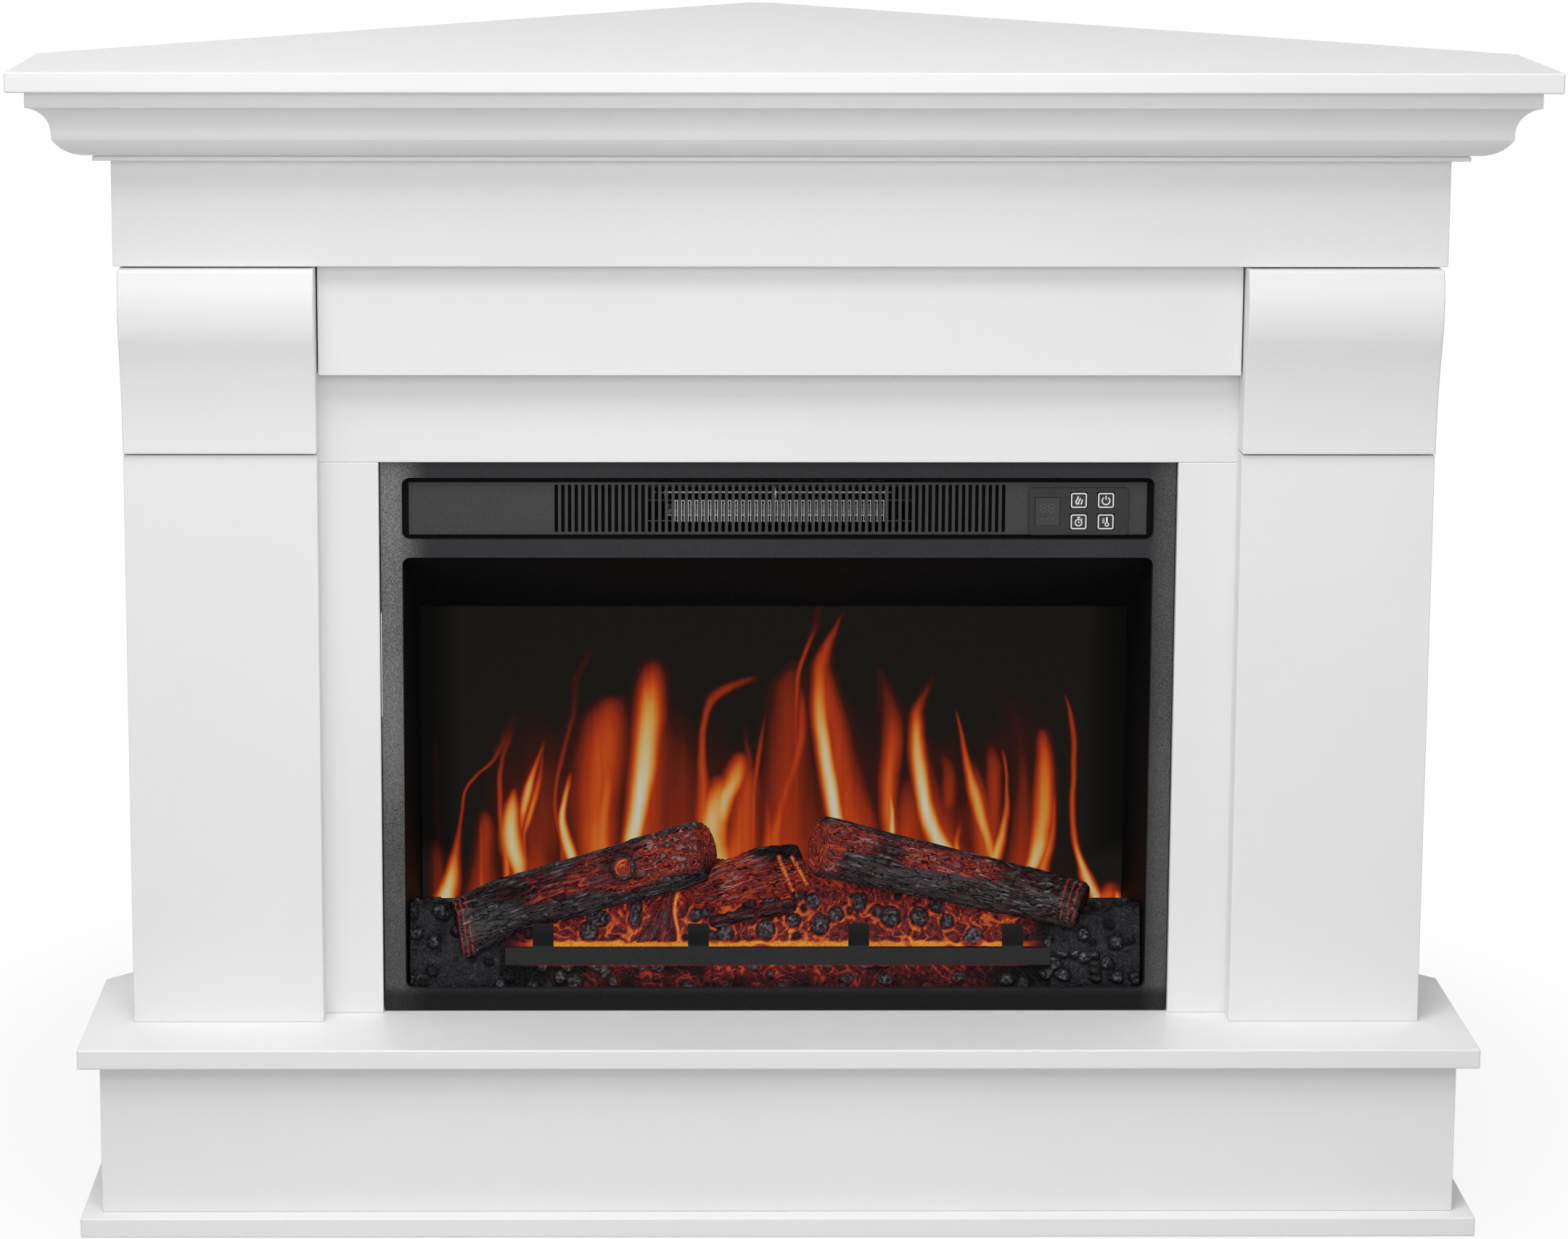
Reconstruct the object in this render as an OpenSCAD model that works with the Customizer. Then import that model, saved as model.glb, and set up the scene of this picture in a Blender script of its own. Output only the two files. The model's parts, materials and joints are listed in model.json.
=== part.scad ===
// Corner mantel surround on a hearth box, with an electric log-effect fire in its opening.
// Frame: +X to the viewer's right, +Z up, the front faces -Y.
// The origin is at floor level, at the centre of the footprint's box.
// "Setback" is the distance behind the front edge of the top slab.

/* [Top slab] */
// Width of the top slab
top_w = 1118; // [1060:1:1250]
// Depth of the top slab's straight sides, in front of the two walls
top_side_d = 165; // [150:1:230]
// Width of the flat that blunts the rear corner of every slab
apex_flat = 16; // [4:1:40]
// Thickness of the top, hearth and plinth slabs
slab_t = 15; // [12:0.5:20]
// Height of the whole piece
total_h = 875; // [850:1:960]

/* [Crown moulding] */
// Overhang of the top slab past the crown
crown_over = 12.5; // [6:0.5:20]
// Height of the flat fillet at the crown's top
fillet_h = 11.7; // [8:0.1:16]
// Height of the whole crown above its bead
crown_h = 50; // [48:0.5:56]
// Depth of the crown from its fillet to its bead
crown_d = 42.5; // [40:0.5:46]
// Radius of the crown's rounded shoulder
ovolo_r = 20.7; // [19:0.1:21.5]
// Radius of the crown's hollow
cove_r = 27.6; // [26:0.1:29]
// Height of the bead under the crown
bead_h = 3.3; // [2:0.1:6]
// Height and depth of the dark groove above the bead
groove = 1.2; // [0.6:0.1:2]

/* [Frieze and lintels] */
// Setback of the frieze's face
frieze_set = 67; // [64:0.5:72]
// Height of the frieze
frieze_h = 134; // [120:1:160]
// Thickness of the frieze boards
frieze_t = 12; // [9:0.5:15]
// Thickness of the upper lintel, which hangs behind the frieze
lintel_t = 19; // [14:0.5:19]
// Drop of the upper lintel below the frieze
lintel_drop = 83; // [60:1:100]
// Thickness of the board behind the upper lintel and the columns
back_board_t = 15; // [12:0.5:18]

/* [Columns] */
// Inset of the columns from the sides of the top slab
column_inset = 71; // [68:0.5:80]
// Width of a column
column_w = 144; // [120:1:150]
// Setback of the pilaster's face
column_set = 75; // [73:0.5:78]
// Height of the corbel block
corbel_h = 140; // [120:1:160]
// How far the corbel swells in front of the pilaster
corbel_proj = 21.5; // [18:0.5:23]
// How far the corbel's foot stands in front of the pilaster
corbel_foot = 3; // [1:0.5:4]
// Height of the shadow joints above and below the corbel
column_joint = 1.2; // [0.4:0.1:2]
// Thickness of the boards that run back to the walls
side_t = 15; // [12:0.5:18]

/* [Back] */
// Distance from the wall to the carcass, measured square to the wall
carcass_gap = 16; // [12:0.5:30]
// Thickness of the back panels
back_t = 6; // [4:0.5:9]
// Width of the post's faces at the rear corner
post_w = 42; // [30:1:60]
// Width of the battens under the top
batten = 20; // [15:1:30]
// Clear length left beyond the ends of the battens
batten_gap = 30; // [20:1:60]
// Width of a vent slot in the back panels
vent_w = 8; // [5:0.5:12]
// Length of a vent slot
vent_l = 110; // [60:1:150]
// Distance between vent slots
vent_pitch = 26; // [22:1:32]
// Number of vent slots in each group
vent_count = 9; // [4:1:11]
// Radius of the cord outlet in the right back panel
outlet_r = 20; // [15:0.5:28]
// Distance of the cord outlet from the front end of its panel
outlet_inset = 130; // [100:1:200]
// Height of the cord outlet above the floor
outlet_z = 232; // [210:1:260]
// Radius of a panel screw's shank
screw_r = 1.75; // [1.2:0.05:2.5]
// Radius of a panel screw's head
screw_head_r = 3.6; // [3:0.1:4.5]
// Length of the screws' thread in the timber
screw_l = 9; // [6:0.5:9]
// Distance of the end screws from the ends of the side panels
screw_end = 36; // [20:1:80]
// Number of screws in each row
screw_count = 4; // [2:1:6]

/* [Hearth] */
// Width of the hearth and plinth slabs
hearth_w = 1046; // [1010:1:1050]
// Setback of the front edges of the hearth and plinth slabs
hearth_set = 6; // [0:0.5:20]
// Height of the hearth's top above the floor
base_h = 146; // [100:1:160]
// Inset of the box between the two slabs
box_inset = 15; // [8:0.5:16]
// Thickness of the boards of the box
box_t = 15; // [12:0.5:18]
// Distance from the wall to the hearth, measured square to the wall
skirting_gap = 10; // [5:0.5:11]

/* [Fire insert] */
// Width of the front frame
insert_w = 598; // [580:1:606]
// Height of the front frame
insert_h = 427.5; // [385:0.5:460]
// Setback of the front frame's face
insert_set = 103; // [100:0.5:104]
// Thickness of the front frame
frame_t = 6; // [5:0.5:8]
// Depth of the casing behind the front frame
casing_d = 191; // [185:1:210]
// Thickness of the casing's sheet
sheet_t = 1.5; // [1:0.1:1.8]
// Width of the side bars of the front frame
frame_bar = 16; // [14:0.5:18]
// Height of the bottom bar of the front frame
frame_sill = 17; // [15:0.5:19]
// Height of the top bar of the front frame
frame_top = 12.4; // [11:0.1:14]
// Height of the bar between the window and the heater recess
frame_mid = 13.6; // [13:0.1:15]
// Height of the heater recess
recess_h = 47.5; // [46:0.1:48]
// Corner radius of the window and of the heater recess
window_r = 6; // [3:0.5:8]

/* [Heater front] */
// Gap at each end of the heater fascia
fascia_gap = 5; // [4:0.1:6]
// Gap under the heater fascia
fascia_low = 3.1; // [2:0.1:3.4]
// Gap over the heater fascia
fascia_high = 4.4; // [3.6:0.1:5]
// Thickness of the heater fascia
fascia_t = 3; // [2.4:0.1:3.2]
// Distance between grille slots
slot_pitch = 5.03; // [4.9:0.01:5.1]
// Width of a grille slot
slot_w = 2.7; // [2:0.1:3.2]
// Height of a grille slot
slot_h = 36.6; // [30:0.1:38]
// Number of slots on each side of the middle, open or blind
slot_half = 34; // [24:1:35]
// Number of those slots that are open
slot_open = 20; // [16:1:20]

/* [Controls] */
// Width of the control panel
panel_w = 75; // [74:0.5:78]
// Height of the control panel
panel_h = 36; // [35.2:0.1:37]
// Distance of the control panel's middle from the fire's middle
panel_x = 226.5; // [224:0.5:230]
// Width of a key
key_w = 12.3; // [11:0.1:13]
// Height of a key
key_h = 11.7; // [11:0.1:12.2]
// Gap round a key in the control panel
key_gap = 0.25; // [0.15:0.05:0.4]
// How far a key travels when pressed
key_travel = 0.6; // [0.3:0.1:0.6]
// Distance between the two columns of keys
key_pitch_x = 20.4; // [18:0.1:21]
// Distance between the two rows of keys
key_pitch_z = 16.4; // [15.6:0.1:16.8]

/* [Fire bed] */
// Depth of the flame screen behind the front frame's face
screen_depth = 87; // [84:0.5:92]
// Drop of the sloping hood from the window's top to the flame screen's top
hood_drop = 54; // [45:0.5:60]
// Thickness of the flame screen
screen_t = 3; // [2:0.5:4]
// Height of the ember bed's ends above the insert's floor
bed_h = 67; // [62:0.5:72]
// Height of the mound in the middle of the ember bed
mound_h = 30; // [24:0.5:33]
// Thickness of the ember bed's moulded shell
bed_t = 3; // [2:0.1:4]
// Radius of the logs at their thick ends
log_r = 23.5; // [21:0.5:25]
// Radius of the logs at their thin ends
log_tip_r = 21; // [18:0.5:22]
// Length of the grate bar
grate_w = 418; // [380:1:440]
// Height of the grate bar
grate_h = 13.5; // [10:0.5:15]

/* [Fan and flicker drive] */
// Radius of the fan wheel
wheel_r = 19; // [17:0.5:19.5]
// Length of the fan wheel
wheel_l = 170; // [150:1:176]
// Number of blades
blade_count = 18; // [12:1:24]
// Radius of the fan's shaft
fan_shaft_r = 2.5; // [2:0.1:3]
// Radius of the flicker spindle
spindle_r = 2; // [1.5:0.1:2.5]
// Number of reflector blades on the flicker spindle
flicker_count = 12; // [8:1:14]
// Radial clearance of a shaft in its bush
run_gap = 0.05; // [0.02:0.01:0.08]

/* [Hidden] */
$fn = 48;
// clearance between pieces that are dropped in beside each other
fit = 0.3;
// hairline left between boards that are mitred or laid against a sloping face
seam = 0.05;
root2 = sqrt(2);
half_w = top_w / 2;
total_d = top_side_d + half_w - apex_flat / 2;
front_y = -total_d / 2;
// |x| + setback is this sum along either wall
wall_sum = half_w + top_side_d;
carcass_sum = wall_sum - carcass_gap * root2;
inner_sum = carcass_sum - back_t * root2;
top_under = total_h - slab_t;
frieze_z = top_under - frieze_h;
bead_set = crown_over + crown_d;
column_out = half_w - column_inset;
column_in = column_out - column_w;
surround_set = column_set + lintel_t + 4;
surround_back = surround_set + back_board_t;
corbel_top = frieze_z - column_joint;
pilaster_top = corbel_top - corbel_h - column_joint;
opening_top = base_h + insert_h + 2 * fit;
opening_half = insert_w / 2 + 1;
side_in = column_out - side_t;
frieze_half = half_w - frieze_set;
// the box between hearth and plinth
box_half = hearth_w / 2 - box_inset;
box_set = hearth_set + box_inset;
box_sum = wall_sum - (skirting_gap + 6) * root2;
box_in_sum = box_sum - box_t * root2;
box_top = base_h - slab_t;
rib_x = box_half / 3;
// the fire insert
frame_z = base_h + fit;
frame_back = insert_set + frame_t;
casing_half = insert_w / 2 - 12;
casing_back = frame_back + casing_d;
casing_top = frame_z + insert_h - 6;
floor_z = base_h + sheet_t;
window_half = insert_w / 2 - frame_bar;
window_z = frame_z + frame_sill;
window_h = insert_h - frame_sill - frame_mid - recess_h - frame_top;
recess_z = window_z + window_h + frame_mid;
tray_z = window_z + window_h + frame_mid / 2;
plate_set = frame_back + fascia_t + fit;
fascia_half = window_half - fascia_gap;
fascia_z = recess_z + fascia_low;
fascia_top = recess_z + recess_h - fascia_high;
slot_x = 1.5;
slot_z = (fascia_z + fascia_top) / 2;
air_half = slot_open * slot_pitch + 2;
element_set = plate_set + sheet_t;
// the control panel and its keys
panel_t = 2.5;
panel_z = fascia_z;
panel_r = 2.7;
key_col = [panel_x, panel_x + key_pitch_x];
key_row = [panel_z + panel_h / 2 - 7.7, panel_z + panel_h / 2 - 7.7 + key_pitch_z];
key_proud = 0.4;
lip = 1.1;
lip_t = 1.2;
lip_set = frame_back + fit;
board_set = lip_set + lip_t + 4.7;
display_x = panel_x - 23.5;
display_w = 19;
display_h = 22;
cut_in = display_x - display_w / 2 - 2;
cut_out = key_col[1] + key_w / 2 + lip + 1;
cut_low = key_row[0] - key_h / 2 - lip - 0.6;
cut_high = key_row[1] + key_h / 2 + lip + 0.6;
// the fire bed
screen_set = insert_set + screen_depth;
screen_top = window_z + window_h - hood_drop;
bed_front = frame_back + 5;
bed_back = screen_set - 14;
bed_gap = 1.5;
bed_z = floor_z + bed_h;
lip_z = floor_z + 32;
shoulder = bed_back - 26;
mound_top = 70;
mound_foot = 200;
grate_z = window_z + 17;
peg_r = 2;
cheek_front = window_half - 0.5;
cheek_back = window_half - 9;
log_back = 19;
// the flicker drive, behind the flame screen
spindle_set = screen_set + screen_t + 22;
spindle_z = floor_z + 56;
spindle_end = cheek_back - 34;
bush_l = 8;
bush_x = [-cheek_back + 2 * bush_l, spindle_end - 6 - bush_l];
flicker_r = 12.5;
// the fan, above the fire bed
fan_set = element_set + 70;
fan_z = tray_z + sheet_t + 27;
fan_half = wheel_l / 2 + 5;

// ---- helpers: shapes are drawn in (x, setback), (x, z) or (setback, z) and extruded ----

// plan in (x, setback), from height z0 to z1
module upright(z0, z1) {
    translate([0, front_y, z0])
        linear_extrude(z1 - z0) children();
}

// elevation in (x, z), from setback s0 to s1
module facing(s0, s1) {
    translate([0, front_y + s1, 0])
        rotate([90, 0, 0])
            linear_extrude(s1 - s0) children();
}

// section in (setback, z), from x0 to x1
module lengthwise(x0, x1) {
    translate([x0, front_y, 0])
        rotate([90, 0, 90])
            linear_extrude(x1 - x0) children();
}

module board(x0, x1, s0, s1, z0, z1) {
    translate([x0, front_y + s0, z0])
        cube([x1 - x0, s1 - s0, z1 - z0]);
}

// a round bar along X, with its axis at setback s and height z
module bar_x(x0, x1, s, z, r) {
    translate([x0, front_y + s, z])
        rotate([0, 90, 0])
            cylinder(h = x1 - x0, r = r);
}

// a round bar along Y, from setback s0 to s1
module bar_y(x, s0, s1, z, r) {
    translate([x, front_y + s1, z])
        rotate([90, 0, 0])
            cylinder(h = s1 - s0, r = r);
}

module handed(side) {
    mirror([side < 0 ? 1 : 0, 0, 0]) children();
}

// the outline that fits the corner: a front edge, two sides and two 45 degree backs
module corner_plan(half, set, gap) {
    sum = wall_sum - gap * root2;
    blunt = apex_flat / 2;
    polygon([
        [-half, set], [half, set], [half, sum - half],
        [blunt, sum - blunt], [-blunt, sum - blunt], [-half, sum - half]
    ]);
}

// plan of a board along a wall, mitred at the rear corner
module wall_plan(half, outer, inner) {
    polygon([[half, outer - half], [seam, outer - seam], [seam, inner - seam], [half, inner - half]]);
}

// plan of a board that runs back from setback set and is bevelled to meet a wall board
module return_plan(x0, x1, set, sum) {
    polygon([[x0, set], [x1, set], [x1, sum - x1], [x0, sum - x0]]);
}

// a rectangle in (x, z) with rounded corners
module rounded(x0, x1, z0, z1, r) {
    translate([x0 + r, z0])
        square([x1 - x0 - 2 * r, z1 - z0]);
    translate([x0, z0 + r])
        square([x1 - x0, z1 - z0 - 2 * r]);
    for (x = [x0 + r, x1 - r])
        for (z = [z0 + r, z1 - r])
            translate([x, z])
                circle(r = r);
}

// an upright slot with round ends, cut from setback s0 to s1
module slot_cut(x, s0, s1, z, w, h) {
    board(x - w / 2, x + w / 2, s0, s1, z - h / 2 + w / 2, z + h / 2 - w / 2);
    for (end = [-1, 1])
        bar_y(x, s0, s1, z + end * (h - w) / 2, w / 2);
}

// puts a shape against the right-hand wall line: x runs along the wall, y out of it
module on_wall(sum) {
    translate([0, front_y + sum, 0])
        rotate([0, 0, -45]) children();
}

// ---- mantel ----

module top_slab() {
    color("white")
        upright(top_under, total_h)
            corner_plan(half_w, 0, 0);
}

fillet_z = top_under - fillet_h;
crown_z = top_under - crown_h;
ovolo_c = [crown_over - ovolo_r * cos(78), fillet_z - ovolo_r * sin(78)];
cove_c = [bead_set - 2, crown_z + cove_r];
crown_section = concat(
    [[frieze_set, top_under], [crown_over, top_under]],
    [for (a = [78:-7.6:2]) ovolo_c + ovolo_r * [cos(a), sin(a)]],
    [for (a = [210:7.5:270]) cove_c + cove_r * [cos(a), sin(a)]],
    [
        [bead_set + groove, crown_z], [bead_set + groove, crown_z - groove],
        [bead_set, crown_z - groove], [bead_set, crown_z - groove - bead_h],
        [frieze_set, crown_z - groove - bead_h]
    ]
);

module crown_front() {
    outer = half_w - crown_over;
    color("white")
        intersection() {
            lengthwise(-half_w, half_w)
                polygon(crown_section);
            upright(frieze_z, total_h)
                polygon([
                    [-outer, crown_over], [outer, crown_over],
                    [frieze_half, frieze_set], [-frieze_half, frieze_set]
                ]);
        }
}

module crown_return(side) {
    outer = half_w - crown_over;
    color("white")
        handed(side)
            intersection() {
                translate([half_w, front_y, 0])
                    rotate([90, 0, 180])
                        linear_extrude(wall_sum)
                            polygon(crown_section);
                upright(frieze_z, total_h)
                    polygon([
                        [outer, crown_over], [outer, carcass_sum - outer],
                        [frieze_half, carcass_sum - frieze_half], [frieze_half, frieze_set]
                    ]);
            }
}

module crown_left() {
    crown_return(-1);
}

module crown_right() {
    crown_return(1);
}

module frieze_front() {
    color("white")
        board(-frieze_half, frieze_half, frieze_set, frieze_set + frieze_t, frieze_z, top_under);
}

module frieze_returns() {
    color("white")
        for (side = [-1, 1])
            handed(side)
                upright(frieze_z, top_under)
                    return_plan(frieze_half - frieze_t, frieze_half, frieze_set + frieze_t, inner_sum);
}

module upper_lintel() {
    end = column_in - column_joint;
    color("white")
        board(-end, end, surround_set - lintel_t, surround_set, frieze_z - lintel_drop, top_under);
}

module lower_lintel() {
    color("white")
        board(-side_in, side_in, surround_set, surround_back, opening_top, top_under);
}

// setback of the corbel's face at a depth below its top: it swells, then draws in to its foot
swell_r = 85;
swell_at = 30;
hollow_r = 254;
turn_at = 62;
function corbel_face(depth) = column_set - (
    depth <= turn_at
        ? corbel_proj - swell_r + sqrt(pow(swell_r, 2) - pow(depth - swell_at, 2))
        : corbel_foot + hollow_r - sqrt(pow(hollow_r, 2) - pow(corbel_h - depth, 2))
);
arris = 3;

module corbel(side) {
    color("white")
        handed(side)
            lengthwise(column_in, column_out)
                polygon(concat(
                    [[surround_set, corbel_top]],
                    [for (a = [90:-30:0])
                        [corbel_face(arris) + arris * (1 - cos(a)), corbel_top - arris * (1 - sin(a))]],
                    [for (k = [1:28])
                        [corbel_face(k * corbel_h / 28), corbel_top - k * corbel_h / 28]],
                    [[surround_set, corbel_top - corbel_h]]
                ));
}

module corbel_left() {
    corbel(-1);
}

module corbel_right() {
    corbel(1);
}

module pilaster(side) {
    color("white")
        handed(side)
            board(column_in, column_out, column_set, surround_set, base_h, pilaster_top);
}

module pilaster_left() {
    pilaster(-1);
}

module pilaster_right() {
    pilaster(1);
}

module surround(side) {
    color("white")
        handed(side)
            board(opening_half, side_in, surround_set, surround_back, base_h, opening_top);
}

module surround_left() {
    surround(-1);
}

module surround_right() {
    surround(1);
}

// ---- back of the mantel ----

// heights of the screws, and their places along a back panel
screw_span = frieze_z - base_h - 2 * screw_end;
screw_z = [for (k = [0:screw_count - 1]) base_h + screw_end + k * screw_span / (screw_count - 1)];
post_screw_u = post_w / 2;
side_screw_u = (column_out - side_t / 4) * root2;
// the vent groups, in the middle of a panel's width, and the cord outlet
panel_l = column_out * root2;
vent_u = panel_l / 2;
vent_z = [frieze_z - vent_l * 0.64, base_h + vent_l * 1.82];
outlet_u = panel_l - outlet_inset;

// the screws' places, in the frame of on_wall
module at_screws(places) {
    for (u = places)
        for (z = screw_z)
            translate([u, 0, z])
                rotate([90, 0, 0]) children();
}

module screw_holes(places) {
    on_wall(carcass_sum)
        at_screws(places)
            cylinder(h = screw_l + back_t + fit, r = screw_r + 0.15);
}

module side_panel(side) {
    color("white")
        handed(side)
            difference() {
                upright(base_h, frieze_z)
                    return_plan(side_in, column_out, surround_set, inner_sum);
                screw_holes([side_screw_u]);
            }
}

module side_panel_left() {
    side_panel(-1);
}

module side_panel_right() {
    side_panel(1);
}

module back_panel(side) {
    handed(side)
        difference() {
            upright(base_h, top_under)
                wall_plan(column_out, carcass_sum, inner_sum);
            screw_holes([post_screw_u, side_screw_u]);
            on_wall(carcass_sum)
                for (k = [0:vent_count - 1])
                    for (z = vent_z)
                        translate([vent_u + (k - (vent_count - 1) / 2) * vent_pitch, 0, z])
                            vent_cut();
        }
}

// a slot through a back panel, in the frame of on_wall
module vent_cut() {
    straight = (vent_l - vent_w) / 2;
    translate([-vent_w / 2, -2 * back_t, -straight])
        cube([vent_w, 3 * back_t, 2 * straight]);
    for (end = [-1, 1])
        translate([0, back_t, end * straight])
            rotate([90, 0, 0])
                cylinder(h = 3 * back_t, r = vent_w / 2);
}

module back_panel_left() {
    color("gainsboro")
        back_panel(-1);
}

module back_panel_right() {
    color("gainsboro")
        difference() {
            back_panel(1);
            on_wall(carcass_sum)
                translate([outlet_u, back_t, outlet_z])
                    rotate([90, 0, 0])
                        cylinder(h = 3 * back_t, r = outlet_r);
        }
}

module apex_post() {
    reach = post_w / root2;
    tip = inner_sum - 2 * seam;
    color("burlywood")
        difference() {
            upright(base_h, top_under)
                polygon([
                    [0, tip], [reach, tip - reach],
                    [0, tip - 2 * reach], [-reach, tip - reach]
                ]);
            for (side = [-1, 1])
                handed(side)
                    screw_holes([post_screw_u]);
        }
}

module top_battens() {
    start = post_w + batten_gap;
    color("burlywood") {
        board(
            -opening_half, opening_half, surround_back, surround_back + batten,
            top_under - batten - seam, top_under - seam
        );
        for (side = [-1, 1])
            handed(side)
                on_wall(inner_sum)
                    translate([start, -batten - seam, top_under - batten - seam])
                        cube([panel_l - start - 2 * batten_gap, batten, batten]);
    }
}

module panel_screws() {
    color("silver")
        for (side = [-1, 1])
            handed(side)
                on_wall(carcass_sum)
                    at_screws([post_screw_u, side_screw_u]) {
                        translate([0, 0, -2])
                            cylinder(h = 2, r = screw_head_r);
                        translate([0, 0, -0.5])
                            cylinder(h = screw_l + back_t + 0.5, r = screw_r);
                    }
}

// ---- hearth ----

module hearth_slab() {
    color("white")
        upright(box_top, base_h)
            corner_plan(hearth_w / 2, hearth_set, skirting_gap);
}

module plinth_slab() {
    color("white")
        upright(0, slab_t)
            corner_plan(hearth_w / 2, hearth_set, skirting_gap);
}

module box_front() {
    color("white")
        board(-box_half, box_half, box_set, box_set + box_t, slab_t, box_top);
}

module box_side(side) {
    color("white")
        handed(side)
            upright(slab_t, box_top)
                return_plan(box_half - box_t, box_half, box_set + box_t, box_in_sum);
}

module box_side_left() {
    box_side(-1);
}

module box_side_right() {
    box_side(1);
}

module box_backs() {
    color("gainsboro")
        for (side = [-1, 1])
            handed(side)
                upright(slab_t, box_top)
                    wall_plan(box_half, box_sum, box_in_sum);
}

module box_ribs() {
    color("burlywood")
        for (side = [-1, 1])
            handed(side)
                upright(slab_t, box_top)
                    return_plan(rib_x, rib_x + box_t, box_set + box_t, box_in_sum);
}

// ---- fire insert: frame and casing ----

module insert_frame() {
    color("dimgray")
        difference() {
            board(-insert_w / 2, insert_w / 2, insert_set, frame_back, frame_z, frame_z + insert_h);
            facing(insert_set - 1, frame_back + 1)
                rounded(-window_half, window_half, window_z, window_z + window_h, window_r);
            facing(insert_set - 1, frame_back + 1)
                rounded(-window_half, window_half, recess_z, recess_z + recess_h, window_r);
        }
}

gland_x = 200;
gland_z = 36;
gland_r = 7;
// five flat sheets: floor, roof, two sides and the rear one, which the gland passes through
module insert_casing() {
    rear = casing_back - sheet_t;
    inside = casing_half - sheet_t;
    color("silver") {
        for (z = [base_h, casing_top - sheet_t])
            board(-casing_half, casing_half, frame_back, rear - seam, z, z + sheet_t);
        for (side = [-1, 1])
            handed(side)
                board(
                    inside, casing_half, frame_back, rear - seam,
                    floor_z + seam, casing_top - sheet_t - seam
                );
        difference() {
            board(-casing_half, casing_half, rear, casing_back, base_h, casing_top);
            bar_y(gland_x, rear - 1, casing_back + 1, base_h + gland_z, gland_r + 0.1);
        }
    }
}

bracket_w = 30;
module fixing_brackets() {
    low = base_h + insert_h / 2 - bracket_w / 2;
    reach = opening_half + bracket_w;
    leg = surround_back + bracket_w;
    color("silver")
        for (side = [-1, 1])
            handed(side)
                upright(low, low + bracket_w)
                    polygon([
                        [casing_half, surround_back], [reach, surround_back],
                        [reach, surround_back + sheet_t],
                        [casing_half + sheet_t, surround_back + sheet_t],
                        [casing_half + sheet_t, leg], [casing_half, leg]
                    ]);
}

module cord_gland() {
    color("black")
        difference() {
            union() {
                bar_y(gland_x, casing_back - 5, casing_back + 2, base_h + gland_z, gland_r);
                bar_y(gland_x, casing_back, casing_back + 3, base_h + gland_z, gland_r + 2);
                bar_y(gland_x, casing_back + 2.5, casing_back + 14, base_h + gland_z, gland_r + 1);
            }
            bar_y(gland_x, casing_back - 6, casing_back + 15, base_h + gland_z, 3.6);
        }
}

// ---- fire insert: heater ----

module heater_tray() {
    inside = casing_half - sheet_t - fit;
    rear = casing_back - sheet_t - fit;
    color("silver")
        difference() {
            union() {
                board(-inside, inside, frame_back + 0.5, rear, tray_z, tray_z + sheet_t);
                board(
                    -inside, inside, plate_set, plate_set + sheet_t,
                    tray_z, casing_top - sheet_t - fit
                );
            }
            board(
                slot_x - air_half, slot_x + air_half, plate_set - 1, plate_set + sheet_t + 1,
                fascia_z - 1, fascia_top + 1
            );
            board(
                cut_in - 7, cut_out + 7, plate_set - 1, plate_set + sheet_t + 1,
                fascia_z - 1, panel_z + panel_h
            );
        }
}

// the pegs behind the fascia that carry the key board
board_pegs = [
    for (x = [cut_in - 2.6, cut_out + 2.6])
        for (z = [panel_z + 6, panel_z + panel_h - 6]) [x, z]
];

module fascia_grille() {
    front = frame_back;
    back = front + fascia_t;
    color("dimgray")
        difference() {
            union() {
                board(-fascia_half, fascia_half, front, back, fascia_z, fascia_top);
                for (p = board_pegs)
                    bar_y(p[0], back - 0.5, board_set, p[1], 1.8);
            }
            for (k = [-slot_half:slot_half - 1]) {
                open = k >= -slot_open && k < slot_open;
                slot_cut(
                    slot_x + (k + 0.5) * slot_pitch, front - 1, open ? back + 1 : front + fascia_t / 2,
                    slot_z, slot_w, slot_h
                );
            }
            board(cut_in, cut_out, front - 1, back + 1, cut_low, cut_high);
        }
}

// the two rods and the end plates that carry the heating wire
rod_r = 0.8;
rod_z = [slot_z - 12, slot_z + 4, slot_z + 15];
wire_set = element_set + 6;
wire_t = 0.5;
module element_frame() {
    color("tan") {
        for (side = [-1, 1])
            translate([slot_x, 0, 0])
                handed(side)
                    board(
                        air_half - 1, air_half + 5, element_set, element_set + 10,
                        fascia_z, fascia_top
                    );
        for (z = rod_z)
            bar_x(slot_x - air_half, slot_x + air_half, wire_set + wire_t + 0.1 + rod_r, z, rod_r);
    }
}

// the heating wire: one ribbon that runs up and down in pairs, one pair behind each slot
wire_pairs = 32;
wire_gap = 1.9;
wire_w = 0.55;
wire_path = [
    for (k = [0:wire_pairs - 1])
        let (x = slot_x + (k + 0.5 - wire_pairs / 2) * slot_pitch)
            each [
                [x - wire_gap / 2, rod_z[0]], [x - wire_gap / 2, rod_z[1]],
                [x + wire_gap / 2, rod_z[1]], [x + wire_gap / 2, rod_z[0]]
            ]
];
wire_last = len(wire_path) - 1;
function heading(a, b) = (b - a) / norm(b - a);
function left_of(v) = [-v[1], v[0]];
function wire_edge(i, side) =
    let (
        n0 = i > 0 ? left_of(heading(wire_path[i - 1], wire_path[i])) : [0, 0],
        n1 = i < wire_last ? left_of(heading(wire_path[i], wire_path[i + 1])) : [0, 0]
    )
    wire_path[i] + side * wire_w / 2 * (n0 + n1);

module heating_element() {
    color("orangered")
        facing(wire_set, wire_set + wire_t)
            polygon(concat(
                [for (i = [0:wire_last]) wire_edge(i, 1)],
                [for (i = [wire_last:-1:0]) wire_edge(i, -1)]
            ));
}

// ---- fire insert: fan ----

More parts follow.
